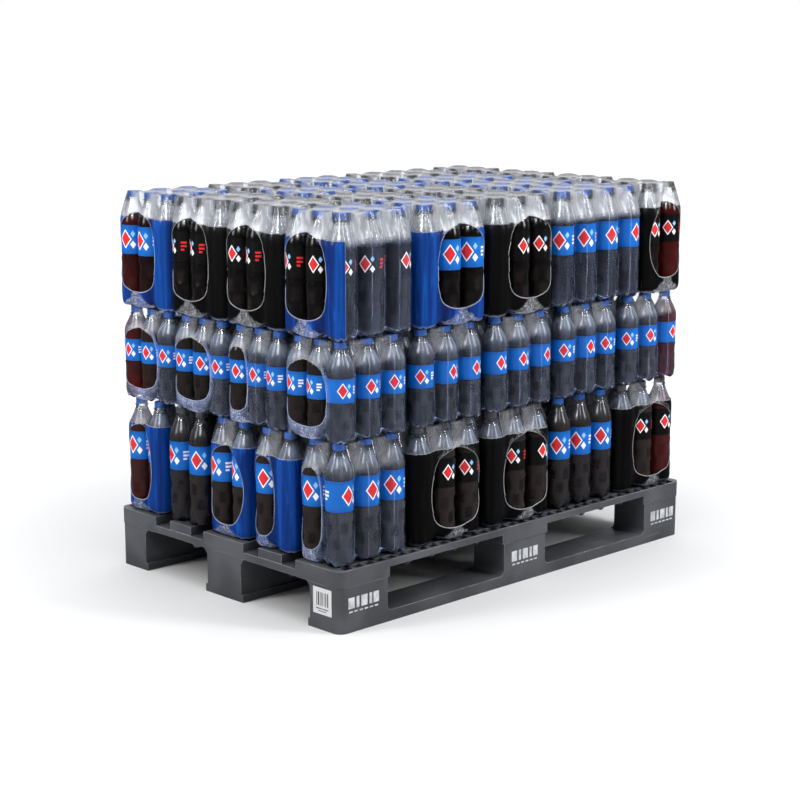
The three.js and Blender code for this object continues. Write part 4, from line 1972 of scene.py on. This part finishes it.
@dataclass(frozen=True)
class Layer:
    """One layer of packs.

    packs[column][row] is a code of letters: film, label, cap, the side with the hole and how wide
    the hole is. An empty code stands for a pack in the layer's core.
    """

    name: str
    shape: BottleShape
    counts: tuple[int, ...]
    pitches: tuple[float, ...]
    row_count: int
    row_pitch: float
    packs: tuple[tuple[str, ...], ...]
    # 1 on the top layer, whose film over the shoulders is painted milkier for the light from above
    veil: float
    # How much painted light off the floor the layer's drink gets
    bounce: float
    inner: Detail = Detail.BURIED
    corner_print: bool = False
    near: float = 6 * MM
    glow_reach: float = 92 * MM

    def build_packs(self) -> list[Pack]:
        """The layer's wrapped packs, placed on their CAD nodes."""
        made = []
        for column, codes in enumerate(self.packs):
            for row, code in enumerate(codes):
                if not code:
                    continue
                name = f"{column + 1}_{row + 1}"
                low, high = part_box(f"{self.name}_pack_{name}")
                middle = (low + high) / 2
                made.append(Pack(
                    name=name, x=middle.x, y=middle.y, z=low.z, shape=self.shape,
                    count_x=self.counts[column], count_y=self.row_count,
                    pitch_x=self.pitches[column] * MM, pitch_y=self.row_pitch * MM,
                    film=Film(code[0]), drink=Drink(code[1]), cap=Cap(code[2]),
                    hole=SIDE_CODES.get(code[3]), opening=OPENING_CODES[code[4:]], veil=self.veil,
                    corner_print=self.corner_print and column == 0 and row == 0,
                ))
        return made

    def core_centres(self) -> list[tuple[float, float]]:
        """The centres of the bottles in the layer's core."""
        centres = []
        for column, codes in enumerate(self.packs):
            for row, code in enumerate(codes):
                if code:
                    continue
                low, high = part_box(f"{self.name}_pack_{column + 1}_1")
                x = (low.x + high.x) / 2
                low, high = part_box(f"{self.name}_pack_1_{row + 1}")
                y = (low.y + high.y) / 2
                for i in range(self.counts[column]):
                    for j in range(self.row_count):
                        centres.append((
                            x + (i - (self.counts[column] - 1) / 2) * self.pitches[column] * MM,
                            y + (j - (self.row_count - 1) / 2) * self.row_pitch * MM,
                        ))
        return centres

    def bottle_places(self, packs: Sequence[Pack], draw: random.Random) -> list[BottlePlace]:
        """Every bottle of the layer.

        Args:
            packs: The layer's wrapped packs.
            draw: The seeded source of each bottle's turn and glow.

        Returns:
            The bottles, fine ones round the outside and plain ones within.
        """
        spots = [(x, y, pack.drink, pack.cap, pack) for pack in packs for x, y in pack.centres()]
        spots += [(x, y, Drink.BLUE, Cap.GREY, None) for x, y in self.core_centres()]
        xs, ys = [spot[0] for spot in spots], [spot[1] for spot in spots]
        x0, x1, y0, y1 = min(xs), max(xs), min(ys), max(ys)
        places = []
        for x, y, drink, cap, pack in spots:
            distances = {
                Side.FRONT: y - y0, Side.LEFT: x - x0, Side.RIGHT: x1 - x, Side.BACK: y1 - y,
            }
            sides = [side for side, distance in distances.items() if distance < self.near]
            facing, outward = SIDE_TURNS[sides[0]] if sides else (0, 0)
            turn = math.radians(facing) + math.radians(draw.uniform(-32, 32))
            # Painted light through the outer bottles, strongest near the corners at -X +Y and +X -Y
            far = Side.RIGHT in sides or Side.BACK in sides
            shine = draw.uniform(0.55, 1.0) if far else 0.8
            to_corner = min(math.hypot(x - x0, y - y1), math.hypot(x - x1, y - y0))
            glow = shine * (1 - smooth_step(to_corner, 0.0, self.glow_reach)) if sides else 0.0
            places.append(BottlePlace(
                x=x, y=y, z=packs[0].z, drink=drink, cap=cap, pack=pack, fine=bool(sides),
                turn=turn, glow=glow, bounce=self.bounce, outward=math.radians(outward),
            ))
        return places

    def build(self, finishes: Finishes, draw: random.Random) -> None:
        """Builds and dresses the layer's film and bottles.

        Args:
            finishes: The materials.
            draw: The seeded source of turns and glow.
        """
        packs = self.build_packs()
        places = self.bottle_places(packs, draw)
        fine = [place for place in places if place.fine]
        inner = [place for place in places if not place.fine]
        has_core = any(not code for codes in self.packs for code in codes)
        core = [f"{self.name}_core"] if has_core else []

        bm = copy_out(self.shape.body(Detail.FINE), fine)
        bm = copy_out(self.shape.body(self.inner), inner, bm)
        add_piece(to_mesh(bm, f"{self.name}_cola"), finishes.cola, core)

        bm = copy_out(self.shape.shell(Detail.FINE), fine)
        bm = copy_out(self.shape.shell(self.inner), inner, bm)
        add_piece(to_mesh(bm, f"{self.name}_shoulders"), finishes.plastic)

        for drink in Drink:
            chosen = [place for place in fine if place.drink is drink]
            if chosen:
                colour = drink.name.lower()
                bm = copy_out(self.shape.label(), chosen)
                add_piece(to_mesh(bm, f"{self.name}_{colour}_labels"), finishes.labels[drink])
        for cap in Cap:
            ribbed = [place for place in fine if place.cap is cap]
            simple = [place for place in inner if place.cap is cap]
            if ribbed or simple:
                colour = cap.name.lower()
                bm = copy_out(self.shape.cap(Detail.FINE), ribbed)
                bm = copy_out(self.shape.cap(self.inner), simple, bm)
                add_piece(to_mesh(bm, f"{self.name}_{colour}_caps"), finishes.caps[cap])
        for pack in packs:
            mesh = to_mesh(Wrap(pack).build(), f"{self.name}_film_{pack.name}")
            slot = pack.film.slot
            add_piece(mesh, finishes.films[slot], [f"{self.name}_pack_{pack.name}"])


LOWER_BOTTLE = BottleShape(
    height=276 * MM, radius=32.2 * MM, label_low=0.455, label_high=0.71, drink_level=0.90,
    hole_low=0.10, hole_high=0.785,
)
MIDDLE_BOTTLE = BottleShape(
    height=224 * MM, radius=31.2 * MM, label_low=0.41, label_high=0.65, drink_level=0.885,
    hole_low=0.125, hole_high=0.795,
)
UPPER_BOTTLE = BottleShape(
    height=276 * MM, radius=32.2 * MM, label_low=0.455, label_high=0.71,
)

# Counts of bottles and millimetres between them, by column, then by row
LAYERS = (
    Layer("lower", LOWER_BOTTLE, (3, 3, 3, 3, 3), (78, 78, 78, 78, 78), 2, 74, (
        ("Cbbwn", "Bbbwn", "Bbbwf", "Tbg.", "Bbbw"),
        ("Kkgs", "", "", "", "Kkgn"),
        ("Kkgs", "", "", "", "Cbb."),
        ("Tbb.", "", "", "", "Bbbn"),
        ("Kkgs", "Cbb.", "Bbbe", "Tkg.", "Kkgn"),
    ), veil=0.0, bounce=1.0),
    Layer("middle", MIDDLE_BOTTLE, (3, 3, 3, 3, 3), (76, 76, 76, 76, 76), 3, 64, (
        ("Cbbw", "Cbbw1", "Cbbw", "Cbbw"),
        ("Cbb.", "", "", "Cbb."),
        ("Cbb.", "", "", "Cbb."),
        ("Cbb.", "", "", "Cbb."),
        ("Cbb.", "Cbbe", "Cbbe", "Cbb."),
    ), veil=0.0, bounce=0.7),
    Layer("upper", UPPER_BOTTLE, (3, 3, 3, 4, 2), (82, 74, 74, 82, 80), 3, 66, (
        ("Ckbw", "Kkgw", "Kkgw", "Bbbw"),
        ("Bbbs", "Kkg.", "Bbb.", "Kkgn"),
        ("Kkgs", "Kkg.", "Bbb.", "Bbbn"),
        ("Cbb.", "Bbb.", "Bbb.", "Kkgn"),
        ("Kkgsf", "Kkge", "Kkge", "Kkgn"),
    ), veil=1.0, bounce=0.1, inner=Detail.INNER, corner_print=True),
)


# ---- Pallet ----


@dataclass(frozen=True)
class Pallet:
    """The pallet's finishes, and the painted marks on its long side."""

    nodes: tuple[str, ...] = ("pallet_deck", "near_skid", "middle_skid", "far_skid")
    label: str = "pallet_label"
    mark_centres: tuple[float, ...] = (-0.5275, 0.0, 0.5275)
    mark_width: float = 92 * MM
    bar_z: float = 67 * MM
    bar_height: float = 24.8 * MM
    block_z: float = 47 * MM
    block_height: float = 3.4 * MM
    block_count: int = 6
    paint_thickness: float = 0.35 * MM
    paint_gap: float = 0.02 * MM

    # Middle and width of each bar, as shares of the mark's width
    BARS: ClassVar[Profile] = [
        (-0.40, 0.20), (-0.19, 0.09), (0.02, 0.20), (0.23, 0.09), (0.41, 0.18),
    ]

    def dress(self, groups: Groups) -> None:
        """Gives the CAD nodes their finishes.

        Args:
            groups: The shared node groups.
        """
        low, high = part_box(self.label)
        finishes = dict.fromkeys(self.nodes, PalletPlastic().make(groups))
        finishes[self.label] = PalletLabelPaper().make(groups, (low + high) / 2, high.z - low.z)
        for name, finish in finishes.items():
            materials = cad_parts[name].data.materials
            materials.clear()
            materials.append(finish)
            LOG.info("%s: %s", name, finish.name)

    def build_marks(self, groups: Groups) -> None:
        """Adds the painted marks: upright bars over a row of small blocks, on each block.

        Args:
            groups: The shared node groups.
        """
        bm = bmesh.new()
        block_width = self.mark_width / self.block_count
        for centre in self.mark_centres:
            for offset, width in self.BARS:
                self.add_bar(bm, centre + offset * self.mark_width, self.bar_z,
                             width * self.mark_width, self.bar_height)
            for index in range(self.block_count):
                spot = centre + (index - (self.block_count - 1) / 2) * block_width
                self.add_bar(bm, spot, self.block_z, block_width * 2 / 3, self.block_height)
        bmesh.ops.recalc_face_normals(bm, faces=bm.faces)
        mesh = to_mesh(bm, "block_marks", smooth=False)
        add_piece(mesh, MARK_PAINT.make(groups))

    def add_bar(self, bm: bmesh.types.BMesh, x: float, z: float, width: float,
                height: float) -> None:
        """Adds one thin painted bar that stands off the near skid's outer face.

        Args:
            bm: The mesh to add to.
            x: The bar's middle along X.
            z: The bar's middle height.
            width: Its width.
            height: Its height.
        """
        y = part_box("near_skid")[0].y - self.paint_thickness / 2 - self.paint_gap
        made = bmesh.ops.create_cube(bm, size=1.0)["verts"]
        bmesh.ops.scale(bm, vec=(width, self.paint_thickness, height), verts=made)
        bmesh.ops.translate(bm, vec=(x, y, z), verts=made)


# ---- Studio ----


@dataclass(frozen=True)
class Softbox:
    """One rectangular studio light; a glint is seen in gloss alone."""

    name: str
    place: tuple[float, float, float]
    aim: tuple[float, float, float]
    width: float
    height: float
    power: float
    lights_matt: bool = True

    def build(self) -> None:
        """Hangs the light and turns it to its aim."""
        data = bpy.data.lights.new(self.name, "AREA")
        data.shape = "RECTANGLE"
        data.size, data.size_y = self.width, self.height
        data.energy = self.power
        lamp = add_object(self.name, data)
        lamp.location = self.place
        lamp.visible_diffuse = self.lights_matt
        direction = Vector(self.aim) - Vector(self.place)
        lamp.rotation_euler = direction.to_track_quat("-Z", "Y").to_euler()


@dataclass(frozen=True)
class Studio:
    """The plain white studio: the photograph's view, floor, lights and surroundings."""

    camera_place: tuple[float, float, float] = (-3.2389, -3.2930, 1.3159)
    camera_yaw: float = math.radians(45.72)
    camera_pitch: float = math.radians(-11.42)
    camera_lens: float = 84.65
    camera_sensor: float = 36.0
    camera_reach: float = 200.0
    floor_size: float = 400.0
    floor_shade_near: Colour = (0.60, 0.60, 0.60)
    floor_far: Colour = (0.92, 0.92, 0.92)
    floor_sheen: Colour = (0.05, 0.05, 0.055)
    daylight: Colour = (0.97, 0.98, 1.0)
    fill_low: float = 0.05
    fill_high: float = 0.95
    sheen_front: float = 0.03
    sheen_back: float = 0.85
    overhead: float = 1.9
    overhead_spread: float = math.radians(70)
    overhead_tilt: tuple[float, float, float] = (math.radians(8), math.radians(-6), 0.0)
    softboxes: tuple[Softbox, ...] = (
        Softbox("right_softbox", (1.6, -3.6, 2.6), (0.1, -0.3, 0.5), 0.9, 2.4, 125.0),
        Softbox("left_softbox", (-3.8, 1.0, 2.4), (-0.4, 0.0, 0.5), 0.9, 2.4, 90.0),
        Softbox("left_glint", (-2.95, -1.45, 3.10), (0.0, 0.0, 0.6), 1.3, 2.0, 200.0, False),
        Softbox("right_glint", (-1.05, -3.10, 3.10), (0.0, 0.0, 0.6), 0.5, 1.8, 45.0, False),
        Softbox("back_glint", (1.4, 1.2, 4.2), (0.0, 0.0, 0.8), 1.4, 1.4, 110.0, False),
    )

    def build(self) -> None:
        """Sets the studio up."""
        self.add_camera()
        self.add_surroundings()
        self.add_floor()
        self.add_overhead()
        for softbox in self.softboxes:
            softbox.build()
        scene = bpy.context.scene
        scene.view_settings.view_transform = "Standard"
        scene.view_settings.look = "None"
        scene.cycles.max_bounces = 14
        scene.cycles.transparent_max_bounces = 28
        scene.cycles.transmission_bounces = 6
        scene.cycles.sample_clamp_indirect = 4.0
        LOG.info("studio: %d softboxes", len(self.softboxes))

    def add_camera(self) -> None:
        """Places the camera at the photograph's viewing angle."""
        data = bpy.data.cameras.new("camera")
        data.sensor_width = self.camera_sensor
        data.lens = self.camera_lens
        data.clip_end = self.camera_reach
        camera = add_object("camera", data)
        camera.location = self.camera_place
        yaw, pitch = self.camera_yaw - math.pi / 2, math.pi / 2 + self.camera_pitch
        camera.rotation_euler = (pitch, 0.0, yaw)
        bpy.context.scene.camera = camera

    def add_overhead(self) -> None:
        """Adds a broad soft light from straight above."""
        data = bpy.data.lights.new("overhead", "SUN")
        data.energy = self.overhead
        data.angle = self.overhead_spread
        add_object("overhead", data).rotation_euler = self.overhead_tilt

    def add_surroundings(self) -> None:
        """Makes the surroundings white to the eye, and darker in front as reflections see them."""
        world = bpy.data.worlds.new("studio")
        world.use_nodes = True
        world.node_tree.nodes.clear()
        wire = Wiring(world.node_tree)
        seen = wire.put("Background", {"Color": (1.0, 1.0, 1.0, 1.0), "Strength": 1.0}).outputs[0]
        direction = wire.put("TexCoord").outputs["Generated"]
        away = (math.cos(self.camera_yaw), math.sin(self.camera_yaw), 0.35)
        facing = wire.vector_math("DOT_PRODUCT", direction, away).outputs["Value"]
        path = wire.put("LightPath").outputs
        glossy = path["Is Glossy Ray"]
        height = wire.put("SeparateXYZ", {0: direction}).outputs[2]
        sheen = wire.ease(facing, 0.1, 0.95, self.sheen_front, self.sheen_back)
        fill = wire.ease(height, 0.0, 0.9, self.fill_low, self.fill_high)
        strength = wire.total(wire.product(sheen, glossy),
                              wire.product(wire.math("SUBTRACT", 1.0, glossy), fill))
        soft = wire.put("Background", {"Color": paint(self.daylight), "Strength": strength})
        wire.finish(wire.blend(path["Is Camera Ray"], soft.outputs[0], seen), "OutputWorld")
        bpy.context.scene.world = world

    def add_floor(self) -> None:
        """Lays the pale floor, with painted shade round the pallet."""
        bm = bmesh.new()
        bmesh.ops.create_grid(bm, x_segments=2, y_segments=2, size=self.floor_size / 2)
        mesh = to_mesh(bm, "studio_floor", smooth=False)
        material, wire = new_material("studio_floor")
        place = wire.place()
        distance = wire.vector_math("LENGTH", place).outputs["Value"]
        # Painted shade: the floor is darker near the pallet, lightening out to 2.4 m from its middle
        tone = wire.total(wire.ease(wire.noise(place, 0.8), 0.3, 0.7, 0.0, 0.06),
                          wire.ease(distance, 0.7, 2.4, 0.0, 0.94))
        colour = wire.tint(tone, self.floor_shade_near, self.floor_far)
        mirrored = wire.put("LightPath").outputs["Is Glossy Ray"]
        wire.finish(wire.matt(wire.tint(mirrored, colour, self.floor_sheen), 0.75))
        mesh.materials.append(material)
        add_object("studio_floor", mesh)


def main() -> None:
    """Builds the studio, the pallet and the three layers."""
    logging.basicConfig(level=logging.INFO, format="%(name)s: %(message)s")
    draw = random.Random(SEED)
    Studio().build()
    groups = Groups(grain=grain_group(), creases=crease_group(), shape=shape_group())
    pallet = Pallet()
    pallet.dress(groups)
    pallet.build_marks(groups)
    finishes = Finishes.make(groups)
    for layer in LAYERS:
        layer.build(finishes, draw)


if __name__ == "__main__":
    main()
